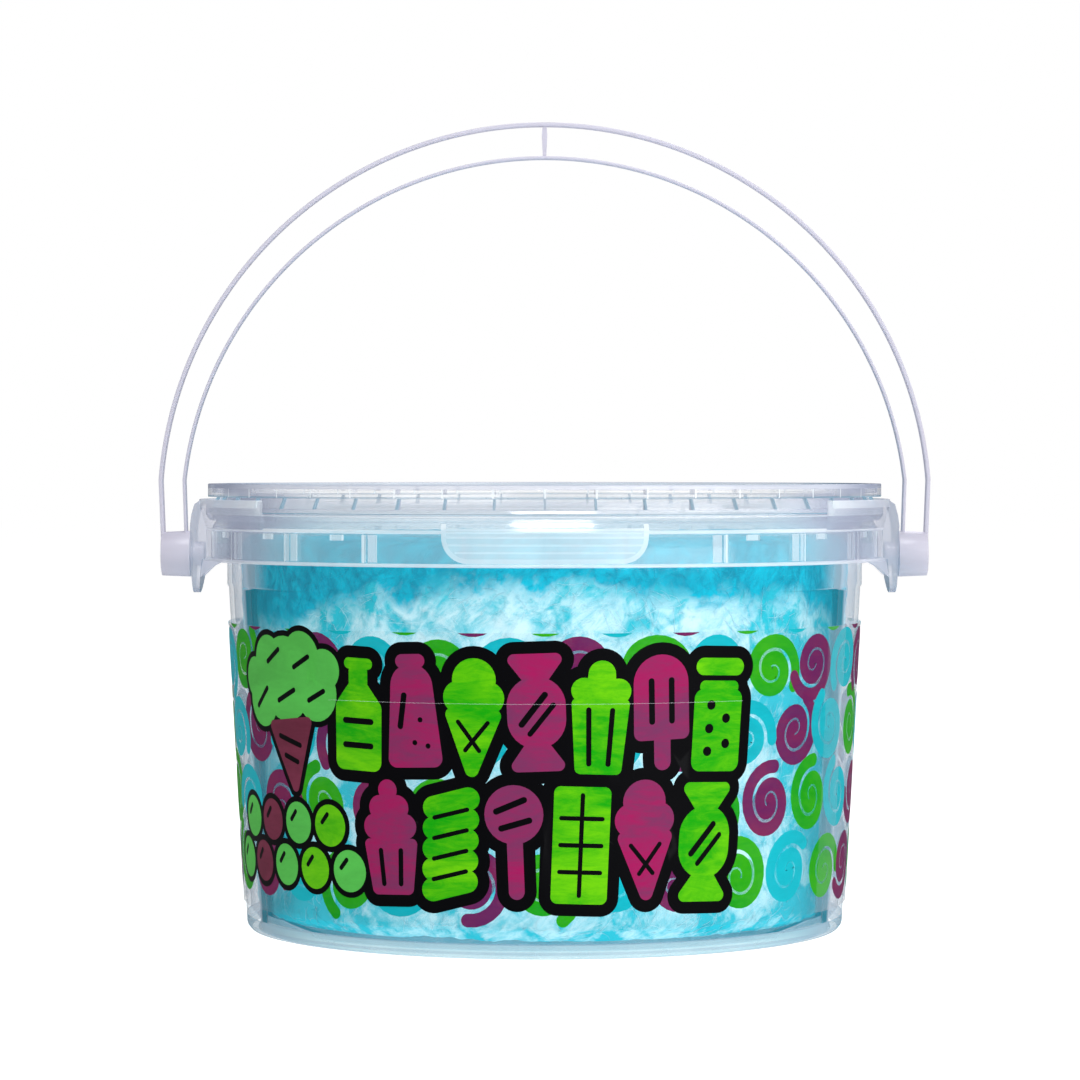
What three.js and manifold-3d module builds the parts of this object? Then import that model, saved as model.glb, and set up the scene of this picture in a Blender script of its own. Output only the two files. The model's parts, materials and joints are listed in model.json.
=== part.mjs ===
// A clear polypropylene tub of cotton candy, about 1.2 litres, with a ribbed snap lid, a wrap label and a
// swing handle of two thin strands. Millimetres, +Z up, origin at the centre of the foot. The grip tab faces
// -Y, and the handle turns about a line along X through its two hubs.
import * as THREE from 'three';
import { mergeVertices } from 'three/addons/utils/BufferGeometryUtils.js';
import Module from 'manifold-3d';

// ---------- driving dimensions ----------
const GAP = 0.3; // clearance between touching pieces
const BURY = 0.4; // how far a rib runs into the wall that carries it
const ROUND = 66; // sides of a revolved piece

const FOOT = {
  recess: 62.4, // the floor stands clear of the ground inside this radius
  inner: 62.7,
  outer: 64.3,
  edge: 65.1,
  edgeHeight: 0.4,
  high: 1.3,
};

const WALL = {
  footRadius: 65.3, // outer radius of the side wall just above the foot
  footHeight: 1,
  draft: 0.0537, // radius gained per millimetre of height
  thickness: 1,
  stepHeight: 74.5, // the wall steps out here, for the straight neck
  stepRise: 0.7,
  neckRadius: 69.6,
  rimHeight: 93.6,
  floorLow: 1.5,
  floorHigh: 2.7,
  filletRadius: 63, // the floor turns up into the wall here
  filletHeight: 4.2,
};

const COLLAR = {
  radius: 74.2, // outer face of the skirt
  beadRadius: 74.7,
  beadHeight: 0.6,
  beadSlope: 0.3,
  low: 80.3,
  bendHeight: 87.5, // the skirt slopes in above this
  topRadius: 72.4,
  high: 90.6,
  thickness: 1.1,
  roofRadius: 71.8, // the slope is thick enough here to carry the flange
  roofThickness: 1.2,
  ribs: 22,
  ribFrontGap: 13.3, // degrees from the rib at the front to the next
  ribThickness: 0.9,
  ribLow: 81.2,
  ribHigh: 90,
};

const TAB = {
  width: 42,
  low: 81.1,
  high: 89.2,
  corner: 5.4,
  border: 1,
  ridges: 4,
  ridgeHeight: 0.45,
  proud: 0.5, // how far border and ridges stand off the skirt
  slopeProud: 1.25, // the same, measured outward at the top of the slope
};

const PIVOT = { height: 81.6, pinRadius: 2.2, boreRadius: 2.65, boreEnd: 74.7 };

const EAR = {
  face: 77.1, // outer face, where the hub runs
  low: 73.1,
  tipThickness: 1.4,
  shoulder: 87.9,
  topWidth: 26,
  rootRadius: 73.6, // the ear begins inside the skirt
  rootLow: 81,
  rootHigh: 88.3,
  browX: 76.7, // the outer face leans in above the shoulder
  browHeight: 90.3,
  crestHeight: 92.4,
  lipInner: 74.25, // the raised lip clears the lid's flange
  lipLow: 90.2,
  lipOuter: 75.9,
  lipHigh: 93.6,
  lipEdge: 0.6, // how far the lip narrows at its top
  lipSpan: 75, // degrees of the collar that the raised lip covers at each ear
  gussetOffset: 5.5,
  gussetThickness: 1,
  gussetHigh: 84,
  gussetFoot: 76.4,
  gussetReach: 75.9,
};

const LID = {
  panelLow: 90.2,
  panelThickness: 1.1,
  plateauRadius: 56, // the middle of the panel stands a little higher
  plateauRise: 0.6,
  plugLow: 86.4,
  plugOuter: 68.3,
  plugInner: 67.1,
  shelfHigh: 95.1,
  shelfThickness: 1,
  channelOuter: 69.9,
  neckOuter: 70.9,
  flangeRadius: 73.9,
  flangeLow: 90.9,
  flangeHigh: 91.9,
  ringRadius: 73.8,
  ringThickness: 1,
  ringLow: 94.2,
  high: 97.05,
  ribs: 44,
  ribThickness: 0.8,
  ribReach: 3, // how far a rib runs in from the ring
  ribDrop: 0.35, // how far it stays below the ring's edge
  taper: 1, // the plateau and the panel's rim slope over this width
};

const LABEL = { low: 6.1, high: 67, thickness: 0.2 };

const CANDY = {
  low: 3,
  high: 86.6,
  shoulder: 83.5, // the side turns in to the top above this
  wallGap: 1.7, // air between the candy and the inside of the wall
  rings: [5.4, 14, 24, 34, 44, 54, 63, 71, 78], // heights of the points up the side
  crownRings: [62, 50, 39, 28, 17, 8, 0],
  crownDrop: 1.1, // how much lower the top is at its edge
  foot: 34,
  sides: 60,
  relief: 0.55, // depth of the soft lumps on the side
  mound: 1.1, // depth of the tufts on top
};

const STRANDS = {
  outer: { radius: 84.6, centre: 91.2, footX: 83.7, thickness: 0.85 },
  inner: { radius: 79.7, centre: 88.8, footX: 78.65, thickness: 0.75 },
  kneeHeight: 97.8, // the arc ends here, and a straight leg runs down to the hub
  width: 3.6,
  steps: 44,
};
const HUB = { radius: 5.05, inner: 77.7, outer: 84.1, sides: 28 };
const BRIDGE = { waist: 0.75, belly: 1.3, bellyAt: 0.68, width: 2.8 }; // the small bar between the strands

// ---------- helpers ----------
const wasm = await Module();
wasm.setup();
const v2 = (x, y) => new THREE.Vector2(x, y);
const wallRadius = (z) => WALL.footRadius + (z - WALL.footHeight) * WALL.draft;

// A closed geometry as a manifold-3d solid: vertices merged, collapsed triangles dropped, faces turned out.
function solid(geometry) {
  const bare = new THREE.BufferGeometry();
  bare.setAttribute('position', geometry.getAttribute('position').clone());
  if (geometry.index) bare.setIndex(geometry.index.clone());
  const merged = mergeVertices(bare, 1e-4);
  const position = merged.attributes.position.array;
  const corner = (i) => new THREE.Vector3().fromArray(position, 3 * i);
  const triangles = [];
  let volume = 0;
  for (let i = 0; i < merged.index.count; i += 3) {
    const [a, b, c] = merged.index.array.slice(i, i + 3);
    if (a === b || b === c || c === a) continue;
    triangles.push([a, b, c]);
    volume += corner(a).dot(corner(b).cross(corner(c)));
  }
  const facing = volume < 0 ? triangles.map(([a, b, c]) => [a, c, b]) : triangles;
  return new wasm.Manifold(
    new wasm.Mesh({ numProp: 3, vertProperties: position, triVerts: new Uint32Array(facing.flat()) }),
  );
}

const join = (solids) => solids.reduce((all, next) => all.add(next));

// A profile of [radius, height] points turned round the Z axis.
function revolve(profile, sides = ROUND) {
  return new THREE.LatheGeometry(profile.map(([r, z]) => v2(r, z)), sides).rotateX(Math.PI / 2);
}

// The same, for a profile that closes on itself.
const revolveLoop = (profile) => revolve([...profile, profile[0]]);

// A flat outline of [x, z] points, given a thickness along Y and centred on y.
function plate(outline, thickness, y = 0) {
  const shape = new THREE.Shape(outline.map(([x, z]) => v2(x, z)));
  return new THREE.ExtrudeGeometry(shape, { depth: thickness, bevelEnabled: false })
    .rotateX(Math.PI / 2)
    .translate(0, y + thickness / 2, 0);
}

// A radial rib: an outline of [radius, height] points, turned to an angle from the front.
const radialRib = (outline, thickness, angle) => plate(outline, thickness).rotateZ(angle - Math.PI / 2);

// Points of an arc about (cx, cz), from one angle to another.
function arc(cx, cz, radius, from, to, steps) {
  return Array.from({ length: steps + 1 }, (_, i) => {
    const a = from + ((to - from) * i) / steps;
    return [cx + radius * Math.cos(a), cz + radius * Math.sin(a)];
  });
}

const evenly = (count) => Array.from({ length: count }, (_, i) => (i * 2 * Math.PI) / count);
const mirrored = (geometry) => geometry.clone().rotateZ(Math.PI);

// A cylinder along X between two distances from the axis, on the +X side.
function rod(radius, from, to, sides) {
  return new THREE.CylinderGeometry(radius, radius, to - from, sides)
    .rotateZ(Math.PI / 2)
    .translate((from + to) / 2, 0, PIVOT.height);
}

function mesh(name, body, material) {
  const made = body.getMesh();
  const position = new Float32Array(made.numVert * 3);
  for (let i = 0; i < made.numVert; i++) {
    position.set(made.vertProperties.subarray(i * made.numProp, i * made.numProp + 3), i * 3);
  }
  const geometry = new THREE.BufferGeometry();
  geometry.setAttribute('position', new THREE.BufferAttribute(position, 3));
  geometry.setIndex(new THREE.BufferAttribute(made.triVerts, 1));
  geometry.computeVertexNormals();
  const shown = new THREE.Mesh(geometry, material);
  shown.name = name;
  return shown;
}

// ---------- the tub: wall, foot, floor, neck, collar, ears and grip tab, moulded as one ----------
function tubShell() {
  const inner = (z) => wallRadius(z) - WALL.thickness;
  const neckInner = WALL.neckRadius - WALL.thickness;
  const skirtInner = COLLAR.radius - COLLAR.thickness;
  return solid(
    revolve([
      [0, WALL.floorLow],
      [FOOT.recess, WALL.floorLow],
      [FOOT.inner, 0],
      [FOOT.outer, 0],
      [FOOT.edge, FOOT.edgeHeight],
      [wallRadius(FOOT.high), FOOT.high],
      [wallRadius(WALL.stepHeight), WALL.stepHeight],
      [WALL.neckRadius, WALL.stepHeight + WALL.stepRise],
      [WALL.neckRadius, COLLAR.high - COLLAR.roofThickness],
      [COLLAR.roofRadius, COLLAR.high - COLLAR.roofThickness],
      [skirtInner, COLLAR.bendHeight - BURY],
      [skirtInner, COLLAR.low],
      [COLLAR.beadRadius, COLLAR.low],
      [COLLAR.beadRadius, COLLAR.low + COLLAR.beadHeight],
      [COLLAR.radius, COLLAR.low + COLLAR.beadHeight + COLLAR.beadSlope],
      [COLLAR.radius, COLLAR.bendHeight],
      [COLLAR.topRadius, COLLAR.high],
      [WALL.neckRadius, COLLAR.high],
      [WALL.neckRadius, WALL.rimHeight],
      [neckInner, WALL.rimHeight],
      [neckInner, WALL.stepHeight + WALL.stepRise + BURY],
      [inner(WALL.stepHeight), WALL.stepHeight],
      [inner(WALL.filletHeight), WALL.filletHeight],
      [WALL.filletRadius, WALL.floorHigh],
      [0, WALL.floorHigh],
    ]),
  );
}

// Ribs between the neck and the skirt: one at the front, one at the back, and the rest evenly down both sides.
function collarRibs() {
  const near = WALL.neckRadius - BURY;
  const far = COLLAR.radius - COLLAR.thickness + BURY;
  const outline = [
    [near, COLLAR.ribLow],
    [far, COLLAR.ribLow],
    [far, COLLAR.bendHeight],
    [COLLAR.topRadius - BURY, COLLAR.ribHigh],
    [near, COLLAR.ribHigh],
  ];
  const perSide = COLLAR.ribs / 2 - 1;
  const spacing = (180 - COLLAR.ribFrontGap) / perSide;
  const oneSide = Array.from({ length: perSide }, (_, i) => COLLAR.ribFrontGap + i * spacing);
  const angles = [0, 180, ...oneSide, ...oneSide.map((angle) => -angle)];
  return angles.map((angle) => solid(radialRib(outline, COLLAR.ribThickness, THREE.MathUtils.degToRad(angle))));
}

// The outline of the grip tab: square above, with round corners below, grown or shrunk by an offset.
function tabOutline(offset) {
  const half = TAB.width / 2 + offset;
  const low = TAB.low - offset;
  const corner = TAB.corner + offset;
  return [
    [-half, TAB.high],
    ...arc(-half + corner, low + corner, corner, Math.PI, 1.5 * Math.PI, 6),
    ...arc(half - corner, low + corner, corner, 1.5 * Math.PI, 2 * Math.PI, 6),
    [half, TAB.high],
  ];
}

// The tab's raised border and grip ridges, shaped flat and then kept only where they lie on the skirt.
function gripTab() {
  const reach = 12; // how far the flat shapes run through the front of the skirt
  const place = -(COLLAR.radius - reach / 2 + 2);
  const proud = COLLAR.radius + TAB.proud;
  const skin = solid(
    revolveLoop([
      [COLLAR.radius - BURY, TAB.low - BURY],
      [proud, TAB.low - BURY],
      [proud, COLLAR.bendHeight],
      [COLLAR.topRadius + TAB.slopeProud, TAB.high + BURY],
      [COLLAR.topRadius, TAB.high + BURY],
      [COLLAR.radius - BURY, COLLAR.bendHeight],
    ]),
  );
  const border = solid(plate(tabOutline(0), reach, place)).subtract(
    solid(plate(tabOutline(-TAB.border), reach + 2, place)),
  );
  const pitch = (TAB.high - TAB.low - TAB.border) / (TAB.ridges + 1);
  const ridges = Array.from({ length: TAB.ridges }, (_, i) => {
    const z = TAB.low + TAB.border + (i + 1) * pitch;
    const half = TAB.width / 2 - (i === 0 ? TAB.corner / 2 : TAB.border);
    const low = z - TAB.ridgeHeight / 2;
    const high = z + TAB.ridgeHeight / 2;
    return solid(plate([[-half, low], [half, low], [half, high], [-half, high]], reach, place));
  });
  return join([border, ...ridges]).intersect(skin);
}

// One ear on the +X side: a tongue that carries the pivot, its two gussets, and the raised lip beside the lid.
function ear() {
  const section = plate(
    [
      [EAR.rootRadius, EAR.rootLow],
      [COLLAR.beadRadius, EAR.rootLow - BURY],
      [EAR.face - EAR.tipThickness, EAR.low],
      [EAR.face, EAR.low],
      [EAR.face, EAR.shoulder],
      [EAR.browX, EAR.browHeight],
      [EAR.lipOuter + 0.1, EAR.crestHeight],
      [EAR.lipInner + 0.1, EAR.lipHigh + 0.1],
      [EAR.lipInner, EAR.lipHigh],
      [EAR.lipInner, EAR.lipLow],
      [EAR.rootRadius, EAR.rootHigh],
    ],
    EAR.topWidth,
  );
  const tongueRadius = PIVOT.height - EAR.low;
  const tongue = plate(
    [
      [-EAR.topWidth / 2, EAR.lipHigh + 1],
      ...arc(0, PIVOT.height, tongueRadius, Math.PI + 0.15, 2 * Math.PI - 0.15, 14),
      [EAR.topWidth / 2, EAR.lipHigh + 1],
    ],
    8,
  )
    .rotateZ(Math.PI / 2)
    .translate(EAR.face - 3, 0, 0);
  const gussetOutline = [
    [WALL.neckRadius - BURY, COLLAR.low + BURY],
    [COLLAR.radius - COLLAR.thickness, (COLLAR.low + EAR.gussetFoot) / 2],
    [EAR.gussetReach, EAR.gussetFoot],
    [EAR.gussetReach, COLLAR.low + BURY],
    [EAR.rootRadius, EAR.gussetHigh],
    [WALL.neckRadius - BURY, EAR.gussetHigh],
  ];
  const gussets = [-1, 1].map((side) =>
    solid(plate(gussetOutline, EAR.gussetThickness, side * EAR.gussetOffset)),
  );
  const lip = solid(
    revolveLoop([
      [EAR.rootRadius, COLLAR.bendHeight - BURY],
      [COLLAR.radius, COLLAR.bendHeight],
      [EAR.lipOuter, EAR.crestHeight],
      [EAR.lipOuter - EAR.lipEdge, EAR.lipHigh],
      [EAR.lipInner, EAR.lipHigh],
      [EAR.lipInner, EAR.lipLow],
      [EAR.rootRadius - BURY, EAR.rootHigh + BURY],
    ]),
  );
  const half = THREE.MathUtils.degToRad(EAR.lipSpan / 2);
  const slice = [[0, 0], ...arc(0, 0, EAR.face + 5, -half, half, 8)];
  const sector = solid(plate(slice, 20).rotateX(Math.PI / 2).translate(0, 0, EAR.lipLow));
  const bore = solid(rod(PIVOT.boreRadius, PIVOT.boreEnd, EAR.face + 2, 24));
  return join([solid(section).intersect(solid(tongue)), ...gussets, lip.intersect(sector)]).subtract(bore);
}

// Turns a finished solid half round, so that one ear serves both sides.
function turned(body) {
  const made = body.getMesh();
  const position = new Float32Array(made.numVert * 3);
  for (let i = 0; i < made.numVert; i++) {
    const [x, y, z] = made.vertProperties.subarray(i * made.numProp, i * made.numProp + 3);
    position.set([-x, -y, z], i * 3);
  }
  return new wasm.Manifold(new wasm.Mesh({ numProp: 3, vertProperties: position, triVerts: made.triVerts }));
}

function tub() {
  const rightEar = ear();
  return join([tubShell(), ...collarRibs(), gripTab(), rightEar, turned(rightEar)]);
}

// ---------- the lid: recessed panel, plug, channel over the rim, flange and ribbed stacking ring ----------
function lid() {
  const ringInner = LID.ringRadius - LID.ringThickness;
  const panelHigh = LID.panelLow + LID.panelThickness;
  const shell = solid(
    revolve([
      [0, LID.panelLow + LID.plateauRise],
      [LID.plateauRadius, LID.panelLow + LID.plateauRise],
      [LID.plateauRadius + LID.taper, LID.panelLow],
      [LID.plugInner, LID.panelLow],
      [LID.plugInner, LID.plugLow],
      [LID.plugOuter, LID.plugLow],
      [LID.plugOuter, LID.shelfHigh - LID.shelfThickness],
      [LID.channelOuter, LID.shelfHigh - LID.shelfThickness],
      [LID.channelOuter, LID.flangeLow],
      [LID.flangeRadius, LID.flangeLow],
      [LID.flangeRadius, LID.flangeHigh],
      [LID.neckOuter, LID.flangeHigh],
      [LID.neckOuter, LID.ringLow],
      [LID.ringRadius, LID.ringLow],
      [LID.ringRadius, LID.high],
      [ringInner, LID.high],
      [ringInner, LID.shelfHigh],
      [LID.plugInner, LID.shelfHigh],
      [LID.plugInner - LID.taper / 2, panelHigh],
      [LID.plateauRadius + LID.taper, panelHigh],
      [LID.plateauRadius, panelHigh + LID.plateauRise],
      [0, panelHigh + LID.plateauRise],
    ]),
  );
  const upper = [
    [ringInner - LID.ribReach, LID.shelfHigh - BURY],
    [ringInner + BURY, LID.shelfHigh - BURY],
    [ringInner + BURY, LID.high - LID.ribDrop],
    [ringInner - LID.ribReach, LID.shelfHigh + BURY],
  ];
  const lower = [
    [LID.neckOuter - BURY, LID.flangeHigh - BURY],
    [LID.flangeRadius - BURY, LID.flangeHigh - BURY],
    [LID.neckOuter + 2 * BURY, LID.ringLow + BURY],
    [LID.neckOuter - BURY, LID.ringLow + BURY],
  ];
  const ribs = evenly(LID.ribs).flatMap((angle) =>
    [upper, lower].map((outline) => solid(radialRib(outline, LID.ribThickness, angle))),
  );
  return join([shell, ...ribs]);
}

// ---------- the wrap label round the wall ----------
function label() {
  const near = (z) => wallRadius(z) + GAP;
  return solid(
    revolveLoop([
      [near(LABEL.low), LABEL.low],
      [near(LABEL.low) + LABEL.thickness, LABEL.low],
      [near(LABEL.high) + LABEL.thickness, LABEL.high],
      [near(LABEL.high), LABEL.high],
    ]),
  );
}

// ---------- the cotton candy: one soft lumpy mass that the tub holds ----------
// Smooth lumps of three sizes, from sums of waves that don't repeat within the tub. Runs from -1 to 1.
function lumps(x, y, z) {
  const broad = Math.sin(x / 11 + 1.3 * Math.sin(y / 13 + z / 17)) * Math.cos(y / 12 - z / 15);
  const middle = Math.sin(y / 5.3 + z / 6.1 + 1.1 * Math.sin(x / 7.9)) * Math.cos(x / 5.9 - z / 7.3);
  const fine = Math.sin(x / 3.1 + z / 3.7) * Math.sin(y / 2.9 - z / 3.3 + 2);
  return 0.5 * broad + 0.35 * middle + 0.15 * fine;
}

function candy() {
  const side = (z) => wallRadius(z) - WALL.thickness - CANDY.wallGap;
  const edge = side(CANDY.shoulder) - 1;
  const crown = (r) => CANDY.high - CANDY.crownDrop * (r / edge) ** 2;
  const profile = [
    [0, CANDY.low],
    [CANDY.foot, CANDY.low],
    [side(CANDY.low) - 2, CANDY.low],
    ...[...CANDY.rings, CANDY.shoulder].map((z) => [side(z), z]),
    [edge, (CANDY.shoulder + crown(edge)) / 2],
    ...CANDY.crownRings.map((r) => [r, crown(r)]),
  ];
  const geometry = revolve(profile, CANDY.sides);
  const points = geometry.getAttribute('position');
  for (let i = 0; i < points.count; i++) {
    const [x, y, z] = [points.getX(i), points.getY(i), points.getZ(i)];
    const r = Math.hypot(x, y);
    const lump = lumps(x, y, z);
    const onTop = THREE.MathUtils.smoothstep(z, CANDY.shoulder, CANDY.high - CANDY.crownDrop);
    const offFloor = THREE.MathUtils.smoothstep(z, CANDY.low, CANDY.low + 5);
    const push = r > 1 ? (offFloor * (1 - onTop) * CANDY.relief * lump) / r : 0;
    points.setXYZ(i, x * (1 + push), y * (1 + push), z + onTop * CANDY.mound * lump);
  }
  return solid(geometry);
}

// ---------- the handle: two strands that share a hub at each end and a small bar at the top ----------
// One edge of a strand, offset from its middle line: up the right leg, over the arc, down the left leg.
function strandEdge(strand, offset) {
  const radius = strand.radius + offset;
  const from = Math.asin((STRANDS.kneeHeight - strand.centre) / strand.radius);
  return [
    [strand.footX + offset, PIVOT.height],
    ...arc(0, strand.centre, radius, from, Math.PI - from, STRANDS.steps),
    [-strand.footX - offset, PIVOT.height],
  ];
}

function strand(middle) {
  const half = middle.thickness / 2;
  return solid(plate([...strandEdge(middle, half), ...strandEdge(middle, -half).reverse()], STRANDS.width));
}

function handle() {
  const low = STRANDS.inner.centre + STRANDS.inner.radius;
  const high = STRANDS.outer.centre + STRANDS.outer.radius;
  const belly = low + BRIDGE.bellyAt * (high - low);
  const bridge = plate(
    [
      [-BRIDGE.waist / 2, low],
      [BRIDGE.waist / 2, low],
      [BRIDGE.belly / 2, belly],
      [BRIDGE.waist / 2, high],
      [-BRIDGE.waist / 2, high],
      [-BRIDGE.belly / 2, belly],
    ],
    BRIDGE.width,
  );
  const hub = rod(HUB.radius, HUB.inner, HUB.outer, HUB.sides);
  const pin = rod(PIVOT.pinRadius, PIVOT.boreEnd + GAP, HUB.inner + 1, 20);
  const ends = [hub, pin].flatMap((piece) => [solid(piece), solid(mirrored(piece))]);
  return join([strand(STRANDS.outer), strand(STRANDS.inner), solid(bridge), ...ends]);
}

// ---------- the whole ----------
const clearPlastic = new THREE.MeshStandardMaterial({
  color: 0xdfe3ee,
  roughness: 0.22,
  metalness: 0,
  transparent: true,
  opacity: 0.35,
});
const lidPlastic = clearPlastic.clone();
const handlePlastic = clearPlastic.clone();
handlePlastic.color.set(0xc9c7da);
const printedFilm = new THREE.MeshStandardMaterial({ color: 0x58c21c, roughness: 0.4, metalness: 0 });
const floss = new THREE.MeshStandardMaterial({ color: 0x8edbe8, roughness: 0.95, metalness: 0 });

const cottonCandyTub = new THREE.Group();
cottonCandyTub.add(
  mesh('tub', tub(), clearPlastic),
  mesh('lid', lid(), lidPlastic),
  mesh('label', label(), printedFilm),
  mesh('candy', candy(), floss),
  mesh('handle', handle(), handlePlastic),
);

export default cottonCandyTub;
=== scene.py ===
"""A clear tub of blue cotton candy, with its snap lid, its printed wrap label and its swing handle.

Run as a script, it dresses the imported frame. Every operator makes one piece, or one group of like pieces.
Sizes are in metres, +Z is up, and the grip tab faces -Y.
"""

import json
import math
import random

import bmesh
import bpy
from mathutils import Matrix, Vector, kdtree, noise


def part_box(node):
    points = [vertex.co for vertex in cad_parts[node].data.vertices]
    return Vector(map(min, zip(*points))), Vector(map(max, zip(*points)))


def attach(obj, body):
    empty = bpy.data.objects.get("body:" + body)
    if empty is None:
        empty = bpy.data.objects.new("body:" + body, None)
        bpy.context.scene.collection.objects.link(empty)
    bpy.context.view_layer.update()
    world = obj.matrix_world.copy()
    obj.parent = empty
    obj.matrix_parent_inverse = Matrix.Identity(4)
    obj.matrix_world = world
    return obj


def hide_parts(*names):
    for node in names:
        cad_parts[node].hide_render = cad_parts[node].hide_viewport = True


bl_info = {
    "name": "Cotton Candy Tub",
    "version": (1, 0, 0),
    "blender": (4, 5, 0),
    "location": "View3D > Sidebar > Candy Tub",
    "description": "Models a clear tub of cotton candy around its packed frame",
    "category": "Object",
}

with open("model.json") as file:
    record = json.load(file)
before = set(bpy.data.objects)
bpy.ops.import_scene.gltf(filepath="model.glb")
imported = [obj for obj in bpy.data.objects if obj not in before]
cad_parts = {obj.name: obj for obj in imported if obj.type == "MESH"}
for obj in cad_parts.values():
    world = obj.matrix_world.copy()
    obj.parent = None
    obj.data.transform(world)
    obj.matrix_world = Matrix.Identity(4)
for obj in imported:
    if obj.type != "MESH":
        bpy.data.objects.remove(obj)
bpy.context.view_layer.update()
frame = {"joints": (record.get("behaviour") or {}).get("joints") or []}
LID_BOX, CANDY_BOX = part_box("lid"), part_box("candy")
SWING = frame["joints"][0]
MM = 0.001
TURN = 2 * math.pi
FRONT = -math.pi / 2  # the angle of -Y in the XY plane
# The material marks of a moulding's faces, in the order of its materials. The pad mark carries a frosted
# tone and painted highlights, the rib mark painted highlights, the vein mark painted shade lines.
WALL, BASE, NECK, COLLAR, PAD_FROST_AND_HIGHLIGHT, RIB_HIGHLIGHT, SHADE_LINE, BEAD, EAR, PANEL = PLASTICS = range(10)


# ---------- settings ----------
def length(name, millimetres, text):
    """A size, shown in the scene's own units."""
    return bpy.props.FloatProperty(
        name=name, description=text, default=millimetres * MM, min=0, precision=5, unit="LENGTH"
    )


def count(name, value, text):
    return bpy.props.IntProperty(name=name, description=text, default=value, min=1)


def number(name, value, text):
    return bpy.props.FloatProperty(name=name, description=text, default=value, min=0, precision=4)


def share(name, value, text):
    return bpy.props.FloatProperty(
        name=name, description=text, default=value, min=0, max=1, subtype="FACTOR"
    )


def degrees(name, value, text):
    """An angle."""
    return bpy.props.FloatProperty(
        name=name, description=text, default=math.radians(value), subtype="ANGLE"
    )


def colour(name, rgb, text):
    """A colour in linear light."""
    return bpy.props.FloatVectorProperty(
        name=name, description=text, default=rgb, size=3, min=0, max=1, subtype="COLOR"
    )


class TubSizes(bpy.types.PropertyGroup):
    """The moulded tub: wall, foot, neck, collar, ears and grip tab"""

    foot_radius: length("Foot radius", 65.3, "Outside of the wall just above the foot")
    draft: number("Draft", 0.0537, "Radius that the wall gains for its height")
    wall: length("Wall", 1.0, "Thickness of the wall")
    floor: length("Floor", 2.7, "Height of the floor's upper face")
    underside: length("Underside", 1.5, "Height of the floor's lower face")
    stand_inner: length("Stand inside", 62.7, "Inside of the ring that the tub stands on")
    stand_outer: length("Stand outside", 64.4, "Outside of the ring that the tub stands on")
    step: length("Step", 74.5, "Height where the wall steps out to the neck")
    neck_radius: length("Neck radius", 69.6, "Outside of the neck above the step")
    collar_radius: length("Collar radius", 74.2, "Outside of the collar's skirt")
    collar_low: length("Collar edge", 80.3, "Height of the skirt's lower edge")
    collar_bend: length("Collar bend", 87.5, "Height where the skirt turns in")
    collar_high: length("Collar top", 90.6, "Height of the collar's upper edge")
    skirt: length("Skirt", 1.1, "Thickness of the skirt")
    ribs: count("Ribs", 22, "Ribs between the neck and the skirt")
    front_gap: degrees("Front gap", 13.3, "Angle from the front rib to the next")
    ear_face: length("Ear face", 77.1, "Distance of an ear's outer face from the axis")
    ear_width: length("Ear width", 26, "Width of an ear at the top")
    ear_low: length("Ear tip", 73.1, "Height of an ear's lowest point")
    lip_span: degrees("Lip span", 75, "Part of the collar that rises at each ear")
    tab_width: length("Tab width", 42, "Width of the grip tab")
    tab_corner: length("Tab corner", 5.4, "Radius of the tab's lower corners")
    tab_ridges: count("Tab ridges", 4, "Grip ridges across the tab")


class LidSizes(bpy.types.PropertyGroup):
    """The snap lid"""

    ring_radius: length("Ring radius", 73.8, "Outside of the stacking ring")
    ring: length("Ring", 0.9, "Thickness of the stacking ring")
    ring_low: length("Ring foot", 94.2, "Height of the ring's lower edge")
    neck: length("Neck", 70.9, "Outside of the lid between the ring and the flange")
    flange_low: length("Flange", 90.9, "Height of the flange's lower face")
    panel_low: length("Panel", 90.2, "Height of the recessed panel's lower face")
    panel: length("Panel thickness", 1.1, "Thickness of the panel")
    panel_rise: length("Panel rise", 0.6, "How far the panel's middle stands higher")
    panel_edge: length("Panel edge", 56, "Radius of the panel's raised middle")
    plug_radius: length("Plug radius", 68.3, "Outside of the plug inside the neck")
    ribs: count("Ribs", 44, "Ribs round the stacking ring")


class HandleSizes(bpy.types.PropertyGroup):
    """The swing handle of two strands"""

    outer_radius: length("Outer strand", 84.6, "Radius of the outer strand's middle line")
    outer_centre: length("Outer centre", 91.2, "Height of the outer arc's centre")
    outer_foot: length("Outer foot", 83.7, "Where the outer strand meets its hub")
    outer_thickness: length("Outer thickness", 0.85, "Thickness of the outer strand")
    inner_radius: length("Inner strand", 79.7, "Radius of the inner strand's middle line")
    inner_centre: length("Inner centre", 88.8, "Height of the inner arc's centre")
    inner_foot: length("Inner foot", 78.65, "Where the inner strand meets its hub")
    inner_thickness: length("Inner thickness", 0.65, "Thickness of the inner strand")
    knee: length("Knee", 97.8, "Height where the arcs end and the legs begin")
    width: length("Width", 3.6, "Width of both strands, front to back")
    hub_radius: length("Hub radius", 5.05, "Outside of a hub")
    hub_inner: length("Hub inner end", 77.7, "Distance of a hub's inner end from the axis")
    hub_outer: length("Hub outer end", 84.1, "Distance of a hub's outer end from the axis")
    pin_radius: length("Pin radius", 2.2, "Radius of the pin inside the ear")
    pin_end: length("Pin end", 75, "Distance of the pin's end from the axis")
    hub_depth: length("Hub depth", 3, "Depth of the hollow in a hub's outer end")


class CandySizes(bpy.types.PropertyGroup):
    """The cotton candy"""

    wall_gap: length("Wall gap", 1.9, "Air between the candy and the inside of the wall")
    shoulder: length("Shoulder", 83.5, "Height where the side turns in to the top")
    tuft: length("Tufts", 0.75, "Depth of the broad lumps")
    fleece: length("Fleece", 0.3, "Depth of the fine fleece")
    threads: count("Threads", 5200, "Loose sugar threads of each colour")
    thread: length("Thread", 0.09, "Thickness of a thread")
    thread_length: length("Thread length", 5, "Mean length of a thread")


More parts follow.
